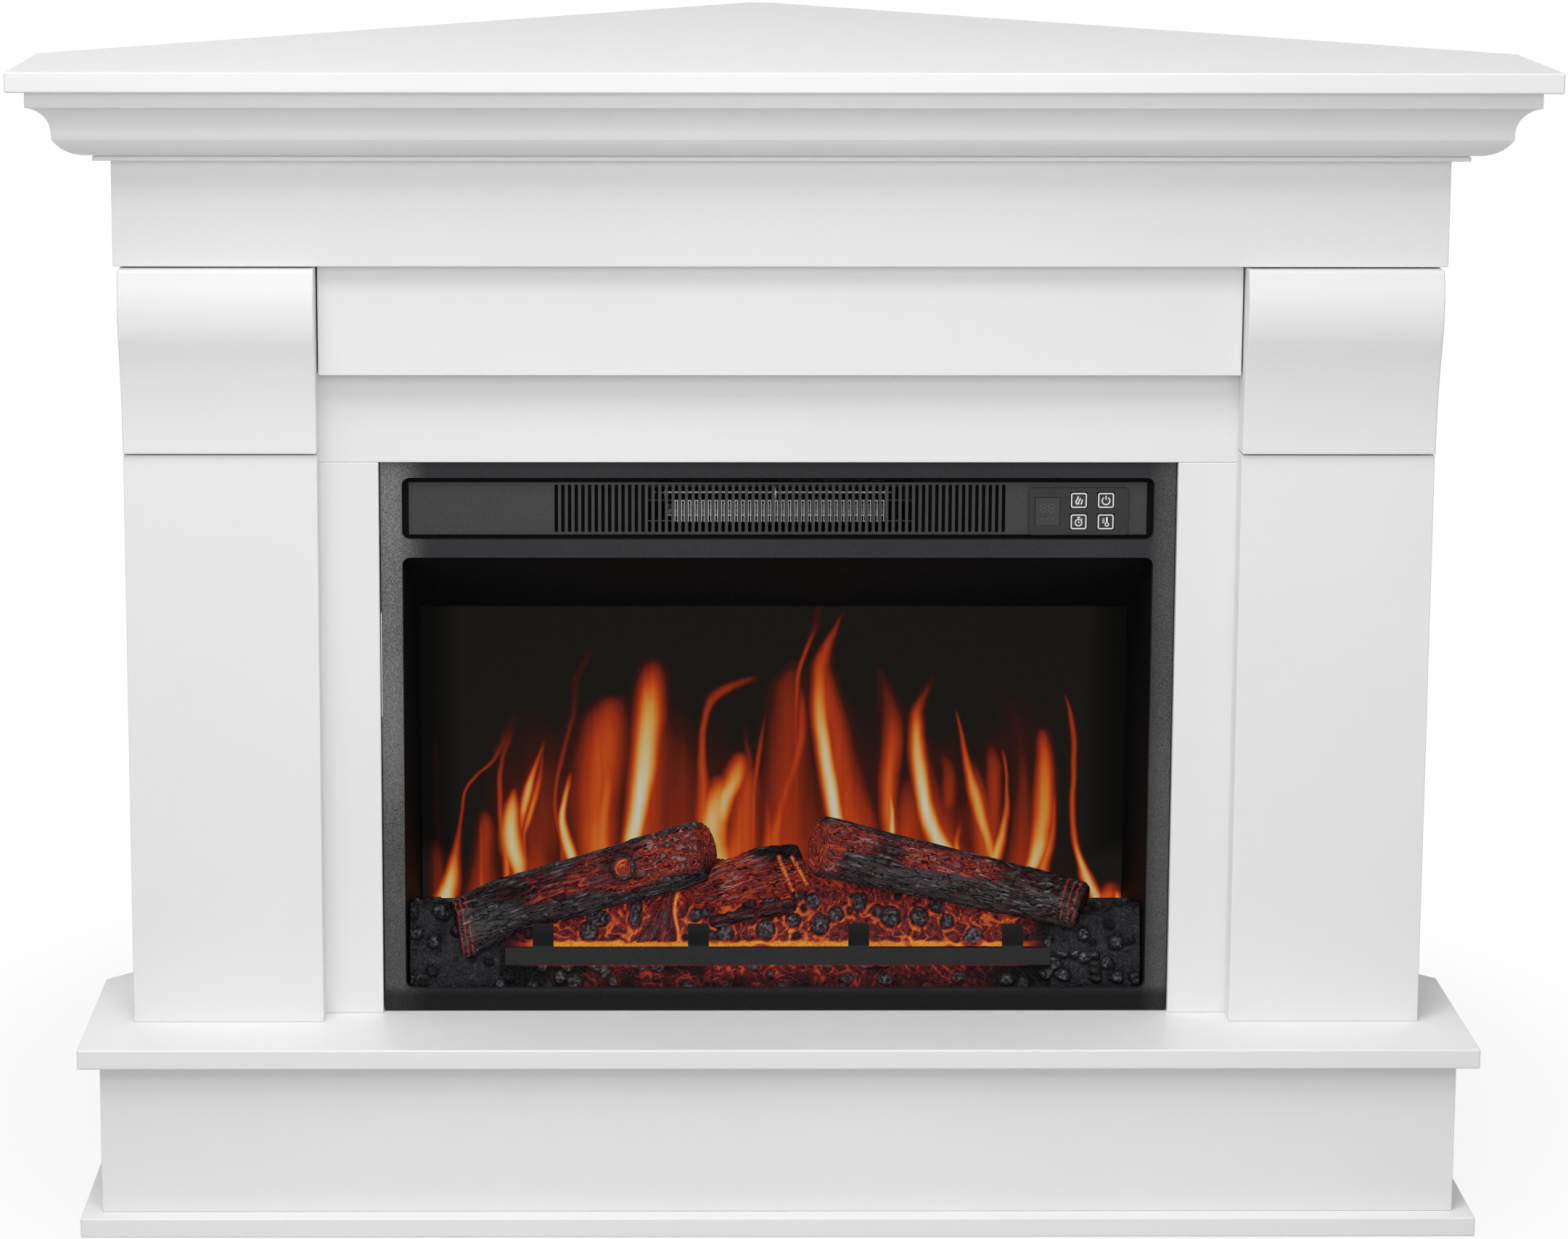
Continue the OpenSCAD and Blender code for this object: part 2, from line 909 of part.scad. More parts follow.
module blower_housing() {
    floor_top = tray_z + sheet_t;
    front = element_set + 12;
    back = fan_set + wheel_r + 2;
    roof = fan_z + wheel_r + 3;
    color("silver")
        difference() {
            union() {
                for (side = [-1, 1])
                    handed(side)
                        board(fan_half, fan_half + sheet_t, front, back + sheet_t, floor_top, roof + sheet_t);
                board(-fan_half - 1, fan_half + 1, back, back + sheet_t, floor_top, roof + sheet_t);
                board(-fan_half - 1, fan_half + 1, front, back + 1, roof, roof + sheet_t);
                board(-fan_half - 1, fan_half + 1, front, fan_set - 22, floor_top, floor_top + sheet_t);
            }
            bar_x(-fan_half - 5, fan_half + 5, fan_set, fan_z, fan_shaft_r + run_gap);
        }
}

module blower_wheel() {
    disc_t = 1.2;
    color("gray") {
        bar_x(-fan_half - 4, fan_half + 12, fan_set, fan_z, fan_shaft_r);
        for (x = [-wheel_l / 2, -disc_t / 2, wheel_l / 2 - disc_t])
            bar_x(x, x + disc_t, fan_set, fan_z, wheel_r);
        for (k = [0:blade_count - 1])
            translate([-wheel_l / 2, front_y + fan_set, fan_z])
                rotate([k * 360 / blade_count, 0, 0])
                    translate([0, -0.4, wheel_r - 4.5])
                        cube([wheel_l, 0.8, 4]);
    }
}

module blower_motor() {
    seat = fan_half + sheet_t;
    color("black")
        difference() {
            union() {
                bar_x(seat, seat + 5, fan_set, fan_z, 9);
                bar_x(seat + 4.5, seat + 34, fan_set, fan_z, 21);
            }
            bar_x(seat - 1, seat + 14, fan_set, fan_z, fan_shaft_r + run_gap);
        }
}

// ---- fire insert: controls ----

module control_panel() {
    front = frame_back - panel_t;
    color("black")
        difference() {
            facing(front, frame_back)
                rounded(panel_x - panel_w / 2, panel_x + panel_w / 2, panel_z, panel_z + panel_h, panel_r);
            for (x = key_col)
                for (z = key_row)
                    board(
                        x - key_w / 2 - key_gap, x + key_w / 2 + key_gap, front - 1, frame_back + 1,
                        z - key_h / 2 - key_gap, z + key_h / 2 + key_gap
                    );
            board(
                display_x - display_w / 2, display_x + display_w / 2, front - 1, frame_back + 1,
                panel_z + panel_h / 2 - display_h / 2, panel_z + panel_h / 2 + display_h / 2
            );
        }
}

module display_window() {
    mid = panel_z + panel_h / 2;
    w = display_w / 2 - key_gap;
    h = display_h / 2 - key_gap;
    color("darkslategray") {
        board(display_x - w, display_x + w, frame_back - panel_t + 0.2, frame_back + 0.5, mid - h, mid + h);
        board(
            display_x - w - lip, display_x + w + lip, frame_back, frame_back + lip_t,
            mid - h - lip, mid + h + lip
        );
    }
}

// a key: its cap, the lip that holds it in, and the stem that meets its switch
module key(x, z) {
    color("black") {
        board(
            x - key_w / 2, x + key_w / 2, frame_back - panel_t - key_proud, lip_set + 0.5,
            z - key_h / 2, z + key_h / 2
        );
        board(
            x - key_w / 2 - lip, x + key_w / 2 + lip, lip_set, lip_set + lip_t,
            z - key_h / 2 - lip, z + key_h / 2 + lip
        );
        bar_y(x, lip_set + lip_t - 0.5, lip_set + lip_t + 1.5, z, 1.6);
    }
}

module key_flame() {
    key(key_col[0], key_row[1]);
}

module key_power() {
    key(key_col[1], key_row[1]);
}

module key_timer() {
    key(key_col[0], key_row[0]);
}

module key_heat() {
    key(key_col[1], key_row[0]);
}

module key_board() {
    switch_front = lip_set + lip_t + 1.5 + key_travel + 0.1;
    color("darkgreen") {
        board(
            cut_in - 5, cut_out + 5, board_set, board_set + 1.6,
            panel_z + 2, panel_z + panel_h - 2
        );
        for (x = key_col)
            for (z = key_row)
                board(x - 3, x + 3, switch_front, board_set + 0.5, z - 3, z + 3);
    }
}

// ---- fire insert: firebox ----

// plan of the space between the cheeks, narrowed by gap
module between_cheeks(gap) {
    polygon([
        [-cheek_front + gap, frame_back + fit], [cheek_front - gap, frame_back + fit],
        [cheek_back - gap, screen_set - fit], [-cheek_back + gap, screen_set - fit]
    ]);
}

module header_panel() {
    hood_z = window_z + window_h;
    color("black")
        intersection() {
            lengthwise(-window_half, window_half)
                polygon([
                    [frame_back + fit, hood_z], [screen_set - fit, screen_top - 2],
                    [screen_set - fit, screen_top], [frame_back + fit, hood_z + 2]
                ]);
            upright(floor_z, casing_top)
                between_cheeks(fit);
        }
}

module cheek(side) {
    color("black")
        handed(side)
            upright(floor_z, tray_z)
                polygon([
                    [cheek_front, frame_back + fit], [cheek_front + sheet_t, frame_back + fit],
                    [cheek_back + sheet_t, screen_set - fit], [cheek_back, screen_set - fit]
                ]);
}

module cheek_left() {
    cheek(-1);
}

module cheek_right() {
    cheek(1);
}

module flame_screen() {
    w = cheek_back + 1;
    color([0.3, 0.15, 0.1])
        board(-w, w, screen_set, screen_set + screen_t, floor_z, screen_top);
}

reflector_set = spindle_set + 34;
module reflector() {
    w = cheek_back - 4;
    color("silver")
        lengthwise(-w, w)
            polygon([
                [reflector_set, floor_z], [reflector_set + 14, floor_z],
                [reflector_set + 14, floor_z + 1], [reflector_set + 1, floor_z + 1],
                [reflector_set + 1, screen_top], [reflector_set, screen_top]
            ]);
}

// section of the ember bed, grown by g
function bed_section(g) = [
    [bed_front - g, floor_z], [bed_front - g, lip_z + g], [shoulder - g, bed_z + mound_h + g],
    [bed_back + g, bed_z + mound_h + g], [bed_back + g, floor_z]
];
// elevation of the ember bed, grown by g: level at the ends, with a mound in the middle
function bed_elevation(g) = [
    [-window_half, floor_z], [window_half, floor_z], [window_half, bed_z + g],
    [mound_foot + g, bed_z + g], [mound_top + g, bed_z + mound_h + g],
    [-mound_top - g, bed_z + mound_h + g], [-mound_foot - g, bed_z + g], [-window_half, bed_z + g]
];

module bed_solid(g) {
    intersection() {
        lengthwise(-window_half, window_half)
            polygon(bed_section(g));
        facing(bed_front - 5, bed_back + 5)
            polygon(bed_elevation(g));
        upright(floor_z - 1, screen_top)
            between_cheeks(bed_gap - g);
    }
}

module ember_bed() {
    color([0.25, 0.08, 0.05])
        difference() {
            bed_solid(0);
            translate([0, 0, -0.01])
                bed_solid(-bed_t);
            grate_pegs(seam);
        }
}

// a log: a tapered round between two points, given as [x, setback, z]
module log_between(a, ra, b, rb) {
    d = b - a;
    flat = norm([d[0], d[1]]);
    translate([a[0], front_y + a[1], a[2]])
        rotate([0, 90 - atan2(d[2], flat), atan2(d[1], d[0])])
            cylinder(h = norm(d), r1 = ra, r2 = rb, $fn = 40);
}

log_set = bed_front + log_back;
left_foot = [-249, log_set + 2, lip_z + 26];
left_head = [-52, log_set + 10, lip_z + 87];
right_head = [33, log_set + 10, lip_z + 91];
right_foot = [240, log_set + 2, lip_z + 42];
stub_foot = [-34, log_set + 8, lip_z + 58];
stub_head = [21, log_set + 20, lip_z + 70];

module log_left_body(g) {
    log_between(left_foot, log_tip_r + g, left_head, log_r + g);
}

module log_right_body(g) {
    log_between(right_head, log_r + g, right_foot, log_tip_r + g);
}

module log_left() {
    color([0.2, 0.12, 0.1])
        difference() {
            log_left_body(0);
            bed_solid(fit);
        }
}

module log_right() {
    color([0.2, 0.12, 0.1])
        difference() {
            log_right_body(0);
            bed_solid(fit);
        }
}

module log_centre() {
    color([0.2, 0.12, 0.1])
        difference() {
            log_between(stub_foot, log_tip_r, stub_head, log_tip_r + 2);
            bed_solid(fit);
            log_left_body(fit);
            log_right_body(fit);
        }
}

finger_x = [-178, -59, 64, 182];

// the pegs that hold the grate to the ember bed, grown by g
module grate_pegs(g) {
    for (x = finger_x)
        bar_y(x, frame_back + 2, bed_front + 14, grate_z + grate_h / 2, peg_r + g);
}

module grate() {
    front = frame_back + 1;
    back = bed_front - fit;
    top = grate_z + grate_h;
    color("black") {
        board(-grate_w / 2 + 2, grate_w / 2 + 2, front, back, grate_z, top);
        for (x = finger_x)
            lengthwise(x - 8, x + 8)
                polygon([
                    [front, top - 1], [back, top - 1], [front + 2.7, top + 9],
                    [back + 3, top + 17.4], [back + 1, top + 18], [front, top + 9]
                ]);
        grate_pegs(0);
    }
}

lamp_count = 16;
lamp_w = 5;
strip_t = 1.6;
module led_strip() {
    set = (bed_front + bed_back) / 2;
    pitch = 2 * (cheek_back - bed_gap - bed_t) / (lamp_count + 2);
    half = lamp_count * pitch / 2;
    color("white") {
        board(-half, half, set - lamp_w, set + lamp_w, floor_z, floor_z + strip_t);
        for (k = [0.5:lamp_count - 0.5])
            board(
                k * pitch - half - lamp_w / 2, k * pitch - half + lamp_w / 2,
                set - lamp_w / 2, set + lamp_w / 2, floor_z + strip_t / 2, floor_z + 2 * strip_t
            );
    }
}

// ---- fire insert: flicker drive ----

module flicker_spindle() {
    reach = spindle_end + 6;
    span = bush_x[1] - bush_x[0] - 60;
    color("silver") {
        bar_x(bush_x[0] + 1, reach, spindle_set, spindle_z, spindle_r);
        for (k = [0:flicker_count - 1])
            translate([
                bush_x[0] + bush_l + 16 + k * span / (flicker_count - 1), front_y + spindle_set, spindle_z
            ])
                rotate([k * 75, 0, 0])
                    translate([0, -0.4, -flicker_r])
                        cube([14, 0.8, 2 * flicker_r]);
    }
}

module spindle_bushes() {
    color("ivory")
        difference() {
            for (x = bush_x)
                board(x, x + bush_l, spindle_set - 9, spindle_set + 9, floor_z, spindle_z + 10);
            bar_x(bush_x[0] - 1, spindle_end, spindle_set, spindle_z, spindle_r + run_gap);
        }
}

module flicker_motor() {
    color("black")
        difference() {
            union() {
                bar_x(spindle_end, spindle_end + 18, spindle_set, spindle_z, 22);
                board(
                    spindle_end, spindle_end + 18, spindle_set - 14, spindle_set + 14,
                    floor_z, spindle_z
                );
            }
            bar_x(spindle_end - 1, spindle_end + 8, spindle_set, spindle_z, spindle_r + run_gap);
        }
}

// ---- the nodes ----

top_slab();
crown_front();
crown_left();
crown_right();
frieze_front();
frieze_returns();
upper_lintel();
lower_lintel();
corbel_left();
corbel_right();
pilaster_left();
pilaster_right();
surround_left();
surround_right();
side_panel_left();
side_panel_right();
back_panel_left();
back_panel_right();
apex_post();
top_battens();
panel_screws();
hearth_slab();
box_front();
box_side_left();
box_side_right();
box_backs();
box_ribs();
plinth_slab();
insert_frame();
insert_casing();
fixing_brackets();
heater_tray();
fascia_grille();
control_panel();
display_window();
key_flame();
key_power();
key_timer();
key_heat();
key_board();
element_frame();
heating_element();
blower_housing();
blower_wheel();
blower_motor();
header_panel();
cheek_left();
cheek_right();
flame_screen();
reflector();
flicker_spindle();
spindle_bushes();
flicker_motor();
ember_bed();
log_left();
log_right();
log_centre();
grate();
led_strip();
cord_gland();
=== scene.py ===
"""White corner mantel on a hearth box, with an electric log-effect fire in its opening."""
import json
import math

import bmesh
import bpy
from mathutils import Matrix, Vector, noise

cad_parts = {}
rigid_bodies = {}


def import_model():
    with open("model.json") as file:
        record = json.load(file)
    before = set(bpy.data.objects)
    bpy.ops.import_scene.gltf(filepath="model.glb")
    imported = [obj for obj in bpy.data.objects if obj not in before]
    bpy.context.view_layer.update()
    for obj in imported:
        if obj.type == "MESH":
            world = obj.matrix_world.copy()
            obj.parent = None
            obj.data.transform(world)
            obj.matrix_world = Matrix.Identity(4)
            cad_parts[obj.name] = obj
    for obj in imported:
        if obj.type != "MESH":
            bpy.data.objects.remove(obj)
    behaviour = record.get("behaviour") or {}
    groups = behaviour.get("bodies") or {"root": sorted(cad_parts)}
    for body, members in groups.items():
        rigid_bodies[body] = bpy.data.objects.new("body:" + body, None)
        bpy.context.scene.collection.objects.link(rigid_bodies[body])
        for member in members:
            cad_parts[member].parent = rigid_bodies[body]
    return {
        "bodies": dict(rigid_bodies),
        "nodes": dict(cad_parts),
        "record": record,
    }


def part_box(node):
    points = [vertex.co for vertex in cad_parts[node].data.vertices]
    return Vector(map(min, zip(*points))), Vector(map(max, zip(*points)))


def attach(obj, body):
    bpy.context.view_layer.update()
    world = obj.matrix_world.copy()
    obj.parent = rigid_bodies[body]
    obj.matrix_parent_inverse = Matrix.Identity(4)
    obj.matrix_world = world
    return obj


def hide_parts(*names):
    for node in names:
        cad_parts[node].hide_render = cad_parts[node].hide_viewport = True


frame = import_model()
known = set(frame["nodes"].values()) | set(frame["bodies"].values())
for thing in [t for t in bpy.data.objects if t not in known]:
    bpy.data.objects.remove(thing)
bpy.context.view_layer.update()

MM = 0.001
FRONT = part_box("top_slab")[0].y
BLACK = (0, 0, 0, 1)
WHITE = (1, 1, 1, 1)


def at(x, setback, z):
    """A point given in millimetres: x, distance behind the top slab's front edge, height."""
    return Vector((x * MM, FRONT + setback * MM, z * MM))


def box_mm(node):
    """A node's box as x0, x1, setback0, setback1, z0, z1, in millimetres."""
    low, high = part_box(node)
    return (
        low.x / MM, high.x / MM, (low.y - FRONT) / MM, (high.y - FRONT) / MM, low.z / MM, high.z / MM,
    )


def linked(name, data):
    """A new object of the scene that holds the data."""
    made = bpy.data.objects.new(name, data)
    bpy.context.scene.collection.objects.link(made)
    return made


def mesh_from(work, name):
    """The mesh of a finished bmesh."""
    mesh = bpy.data.meshes.new(name)
    work.to_mesh(mesh)
    work.free()
    return mesh


class Graph:
    """A node tree that starts empty, with short calls for the nodes used here."""

    def __init__(self, owner):
        owner.use_nodes = True
        self.tree = owner.node_tree
        self.tree.nodes.clear()

    def feed(self, socket, value):
        if isinstance(value, bpy.types.NodeSocket):
            self.tree.links.new(value, socket)
        else:
            socket.default_value = value

    def add(self, kind, inputs=(), **settings):
        node = self.tree.nodes.new(kind)
        for name, value in settings.items():
            setattr(node, name, value)
        for key, value in dict(inputs).items():
            self.feed(node.inputs[key], value)
        return node

    def math(self, operation, *values, clamp=False):
        inputs = dict(enumerate(values))
        return self.add("ShaderNodeMath", inputs, operation=operation, use_clamp=clamp).outputs[0]

    def times(self, product, *others):
        for value in others:
            product = self.math("MULTIPLY", product, value)
        return product

    def spread(self, value, low, high, to_low=0.0, to_high=1.0, kind="SMOOTHSTEP"):
        inputs = {
            "Value": value, "From Min": low, "From Max": high, "To Min": to_low, "To Max": to_high,
        }
        return self.add("ShaderNodeMapRange", inputs, interpolation_type=kind).outputs["Result"]

    def seen_directly(self):
        """1 for camera, glossy and transmission rays, which meet a plain white surround."""
        path = self.add("ShaderNodeLightPath").outputs
        share = path["Is Camera Ray"]
        for kind in ("Is Glossy Ray", "Is Transmission Ray"):
            share = self.math("MAXIMUM", share, path[kind])
        return share

    def either(self, share, first, second, output):
        """Sends the first shader to the output where share is 0, and the second where it is 1."""
        inputs = {0: share, 1: first.outputs[0], 2: second.outputs[0]}
        self.add(output, {"Surface": self.add("ShaderNodeMixShader", inputs).outputs[0]})


# ---- camera, light and floor ----

CAMERA_AT = Vector((-0.1061, -3.4016, 1.1394))
YAW = 0.00696
PITCH = 0.163361
ROLL = 0.001434


def make_camera():
    camera = bpy.data.cameras.new("camera")
    camera.sensor_fit = "HORIZONTAL"
    camera.sensor_width = 36
    camera.lens = 97.8
    camera.shift_x = 0.075
    camera.shift_y = -0.14
    forward = Vector((
        math.sin(YAW) * math.cos(PITCH), math.cos(YAW) * math.cos(PITCH), -math.sin(PITCH)
    ))
    level = Vector((math.cos(YAW), -math.sin(YAW), 0))
    upward = level.cross(forward)
    right = level * math.cos(ROLL) + upward * math.sin(ROLL)
    top = upward * math.cos(ROLL) - level * math.sin(ROLL)
    holder = linked("camera", camera)
    turn = Matrix((right, top, -forward)).transposed().to_4x4()
    holder.matrix_world = Matrix.Translation(CAMERA_AT) @ turn
    bpy.context.scene.camera = holder


def make_lamp(name, place, target, size, power, height=None, mirrored=True):
    """A round soft box, or with a height a wide one, out of the camera's sight and, if it isn't
    mirrored, out of the reflections."""
    lamp = bpy.data.lights.new(name, "AREA")
    lamp.shape = "DISK"
    lamp.size = size
    if height:
        lamp.shape = "RECTANGLE"
        lamp.size_y = height
    lamp.energy = power
    holder = linked(name, lamp)
    holder.visible_camera = False
    holder.visible_glossy = mirrored
    holder.location = place
    holder.rotation_euler = (Vector(target) - Vector(place)).to_track_quat("-Z", "Y").to_euler()


# The surround's strength where a ray's y is below AHEAD and above BEHIND, smooth between
SKY_FRONT = 0.62
SKY_BACK = 0.06
AHEAD = -0.35
BEHIND = 0.45


def make_world():
    """A surround that lights the object mostly from the front, and that looks plain white."""
    world = bpy.data.worlds.new("studio")
    graph = Graph(world)
    ray = graph.add("ShaderNodeTexCoord").outputs["Generated"]
    depth = graph.add("ShaderNodeSeparateXYZ", {"Vector": ray}).outputs[1]
    strength = graph.spread(depth, AHEAD, BEHIND, SKY_FRONT, SKY_BACK)
    sky = graph.add("ShaderNodeBackground", {"Color": WHITE, "Strength": strength})
    white = graph.add("ShaderNodeBackground", {"Color": WHITE, "Strength": 1.0})
    graph.either(graph.seen_directly(), sky, white, "ShaderNodeOutputWorld")
    bpy.context.scene.world = world


FLOOR_HALF = 12
FLOOR_DROP = 0.0005


def make_floor():
    """A pale floor that keeps the shadow near the object and turns plain white further out."""
    work = bmesh.new()
    bmesh.ops.create_grid(work, x_segments=1, y_segments=1, size=FLOOR_HALF)
    floor = linked("floor", mesh_from(work, "floor"))
    floor.location.z = -FLOOR_DROP
    material = bpy.data.materials.new("floor")
    graph = Graph(material)
    matte = graph.add("ShaderNodeBsdfDiffuse", {"Color": (0.6, 0.6, 0.6, 1)})
    white = graph.add("ShaderNodeEmission", {"Strength": 1.0})
    place = graph.add("ShaderNodeTexCoord").outputs["Object"]
    reach = graph.add("ShaderNodeVectorMath", {0: place}, operation="LENGTH").outputs["Value"]
    share = graph.times(graph.spread(reach, 0.45, 0.85, 0.86, 1.0), graph.seen_directly())
    graph.either(share, matte, white, "ShaderNodeOutputMaterial")
    floor.data.materials.append(material)


bpy.context.scene.view_settings.view_transform = "Standard"
make_camera()
make_world()
make_floor()
make_lamp("key", (-0.5, -1.65, 3.0), (0, -0.3, 0.4), 1.8, 46)
make_lamp("strip", (-0.05, -1.35, 1.0), (0, -0.33, 0.55), 1.4, 3.9, 0.4)
make_lamp("rear", (-0.3, 2.8, 0.8), (0, 0.3, 0.5), 2.0, 26, mirrored=False)


# ---- materials ----

def srgb(red, green, blue):
    """A screen colour, 0 to 255, as the linear colour that a shader takes."""
    return tuple(
        c / 3294.6 if c <= 10.31 else ((c / 255 + 0.055) / 1.055) ** 2.4 for c in (red, green, blue)
    ) + (1,)


def grey(level):
    return (level, level, level, 1)


def shaded(colour, share):
    return tuple(share * c for c in colour[:3]) + (1,)


class Shader(Graph):
    """One material of the object. Its noise and cells lie in the part's own space."""

    def __init__(self, name, surface=()):
        self.material = bpy.data.materials.new(name)
        super().__init__(self.material)
        self.place = self.add("ShaderNodeTexCoord").outputs["Object"]
        self.surface = self.add("ShaderNodeBsdfPrincipled", surface)
        self.add("ShaderNodeOutputMaterial", {"Surface": self.surface.outputs[0]}, is_active_output=True)

    def put(self, name, value):
        self.feed(self.surface.inputs[name], value)

    def scaled(self, x, y, z, where=None):
        inputs = {"Vector": where or self.place, "Scale": (x, y, z)}
        return self.add("ShaderNodeMapping", inputs).outputs[0]

    def axes(self):
        return self.add("ShaderNodeSeparateXYZ", {"Vector": self.place}).outputs

    def facing_y(self):
        normal = self.add("ShaderNodeNewGeometry").outputs["Normal"]
        return self.add("ShaderNodeSeparateXYZ", {"Vector": normal}).outputs[1]

    def noise(self, scale, detail=2.0, rough=0.5, where=None):
        inputs = {
            "Vector": where or self.place, "Scale": scale, "Detail": detail, "Roughness": rough,
        }
        return self.add("ShaderNodeTexNoise", inputs).outputs["Fac"]

    def cells(self, scale, output="Distance", where=None):
        inputs = {"Vector": where or self.place, "Scale": scale}
        return self.add("ShaderNodeTexVoronoi", inputs).outputs[output]

    def flakes(self, scale, where=None):
        """An even value in each cell."""
        inputs = {"Color": self.cells(scale, "Color", where)}
        return self.add("ShaderNodeSeparateColor", inputs).outputs[0]

    def ramp(self, value, *stops):
        node = self.add("ShaderNodeValToRGB", {"Fac": value})
        elements = node.color_ramp.elements
        while len(elements) < len(stops):
            elements.new(0.5)
        for element, (position, colour) in zip(elements, stops):
            element.position = position
            element.color = colour
        return node.outputs["Color"]

    def mixed(self, share, first, second):
        return self.add("ShaderNodeMix", {0: share, 6: first, 7: second}, data_type="RGBA").outputs[2]

    def tint(self, value, first, second, low=0.3, high=0.7):
        """Sets the colour, from the first at a low value to the second at a high one."""
        self.put("Base Color", self.ramp(value, (low, first), (high, second)))

    def roughen(self, value, first, second, low=0.3, high=0.7):
        """Sets the roughness, from the first at a low value to the second at a high one."""
        self.put("Roughness", self.spread(value, low, high, first, second))

    def bump(self, height, strength, distance):
        inputs = {"Height": height, "Strength": strength, "Distance": distance}
        self.put("Normal", self.add("ShaderNodeBump", inputs).outputs["Normal"])


def white_paint():
    """Satin paint on MDF: nearly even, with a faint orange peel from the roller."""
    look = Shader("white_paint", {"Specular IOR Level": 0.4})
    look.tint(look.noise(4.0, 3.0), grey(0.795), grey(0.812), 0.35, 0.65)
    look.roughen(look.noise(55.0, 3.0), 0.36, 0.46)
    look.bump(look.math("ADD", look.noise(330.0, 2.0), look.noise(90.0, 1.0)), 0.06, 0.0004)
    return look.material


def backing_board():
    """Thin fibreboard with a white face and a brown fibrous edge."""
    look = Shader("backing_board", {"Roughness": 0.6})
    across = look.math("ABSOLUTE", look.facing_y())
    face = look.times(look.math("GREATER_THAN", across, 0.6), look.math("LESS_THAN", across, 0.8))
    fibre = look.noise(1.0, 4.0, 0.6, look.scaled(260, 260, 1500))
    raw = look.ramp(fibre, (0.3, (0.30, 0.20, 0.12, 1)), (0.7, (0.46, 0.33, 0.21, 1)))
    pale = look.ramp(look.noise(7.0, 4.0), (0.3, (0.72, 0.715, 0.70, 1)), (0.7, (0.77, 0.765, 0.75, 1)))
    look.put("Base Color", look.mixed(face, raw, pale))
    look.bump(look.noise(420.0, 2.0), 0.12, 0.0003)
    return look.material


def timber():
    look = Shader("raw_timber", {"Roughness": 0.72, "Specular IOR Level": 0.25})
    streak = look.noise(1.0, 5.0, 0.62, look.scaled(120, 120, 5))
    rings = look.add(
        "ShaderNodeTexWave",
        {"Vector": look.scaled(1, 1, 0.06), "Scale": 30.0, "Distortion": 6.0, "Detail": 3.0},
        wave_type="RINGS", rings_direction="Z",
    ).outputs["Fac"]
    tone = look.math("ADD", look.times(streak, 0.65), look.times(rings, 0.35))
    look.tint(tone, (0.50, 0.33, 0.18, 1), (0.72, 0.54, 0.34, 1), 0.25, 0.75)
    look.bump(tone, 0.3, 0.0006)
    return look.material


def galvanised():
    look = Shader("zinc_steel", {"Metallic": 1.0})
    bright = look.flakes(90.0)
    look.tint(bright, (0.46, 0.47, 0.48, 1), (0.66, 0.67, 0.68, 1), 0, 1)
    look.roughen(bright, 0.30, 0.48, 0, 1)
    look.bump(look.noise(700.0, 2.0), 0.08, 0.0002)
    return look.material


def powder_coat(name, dark, pale, grain=760.0, painted_sheen=None, painted_hollow_shade=None, darkened_band=None, shine=0.25):
    """Sandy black powder coat: a fine grain with lighter specks, a painted sheen that pales chosen sides,
    painted shade that darkens hollows, and darker between two heights."""
    look = Shader(name, {"Specular IOR Level": shine})
    sand = look.noise(grain, 3.0, 0.65)
    cloud = look.noise(9.0, 2.0)
    speck = look.spread(look.cells(grain * 0.7), 0.05, 0.22, 1.0, 0.0)
    tone = look.math("ADD", look.times(sand, 0.62), look.times(cloud, 0.2))
    tone = look.math("ADD", tone, look.times(speck, 0.2), clamp=True)
    colour = look.ramp(tone, (0.28, dark), (0.78, pale))
    x, y, z = look.axes()
    # A painted sheen: paler left of the first x, more so higher up, and a little paler right of the second
    if painted_sheen:
        left, right, sheen_colour = painted_sheen
        side = look.times(look.spread(x, left * MM, (left - 30) * MM), look.spread(z, 0.10, 0.5, 0.25))
        side = look.math("MAXIMUM", side, look.spread(x, right * MM, (right + 20) * MM, 0.0, 0.38))
        colour = look.mixed(side, colour, look.ramp(tone, (0.28, pale), (0.78, sheen_colour)))
    # Darker between two heights: painted shade on the insert frame's sill, and the darker fingers above the
    # grate's bar
    if darkened_band:
        band_share = look.spread(z, darkened_band[0] * MM, darkened_band[1] * MM, 0.0, 0.65)
        colour = look.mixed(band_share, colour, grey(0.003))
        look.put("Specular IOR Level", look.math("MULTIPLY_ADD", band_share, -0.24, shine))
    # Painted shade: faces set back past the given depth, such as the floors of blind slots, turn nearly
    # black
    if painted_hollow_shade:
        deep = look.spread(y, FRONT + painted_hollow_shade * MM, FRONT + (painted_hollow_shade + 0.5) * MM)
        colour = look.mixed(deep, colour, grey(0.002))
        look.put("Specular IOR Level", look.math("MULTIPLY_ADD", deep, -0.22, shine))
    look.put("Base Color", colour)
    look.roughen(sand, 0.5, 0.66)
    look.bump(sand, 0.45, 0.0004)
    return look.material


def moulded(name, colour, rough):
    """Plastic or lacquer of one colour with a fine spark-eroded texture."""
    look = Shader(name, {"Specular IOR Level": 0.35})
    fine = look.noise(1500.0, 2.0)
    look.tint(look.noise(75.0, 3.0), shaded(colour, 0.9), shaded(colour, 1.1), 0.35, 0.65)
    look.roughen(fine, rough - 0.06, rough + 0.06)
    look.bump(fine, 0.15, 0.0002)
    return look.material


def brushed_metal(name, colour):
    look = Shader(name, {"Metallic": 1.0})
    brush = look.noise(1.0, 4.0, 0.6, look.scaled(30, 1400, 1400))
    look.tint(brush, shaded(colour, 0.86), colour)
    look.roughen(brush, 0.22, 0.4, 0.2, 0.8)
    look.bump(brush, 0.1, 0.0001)
    return look.material


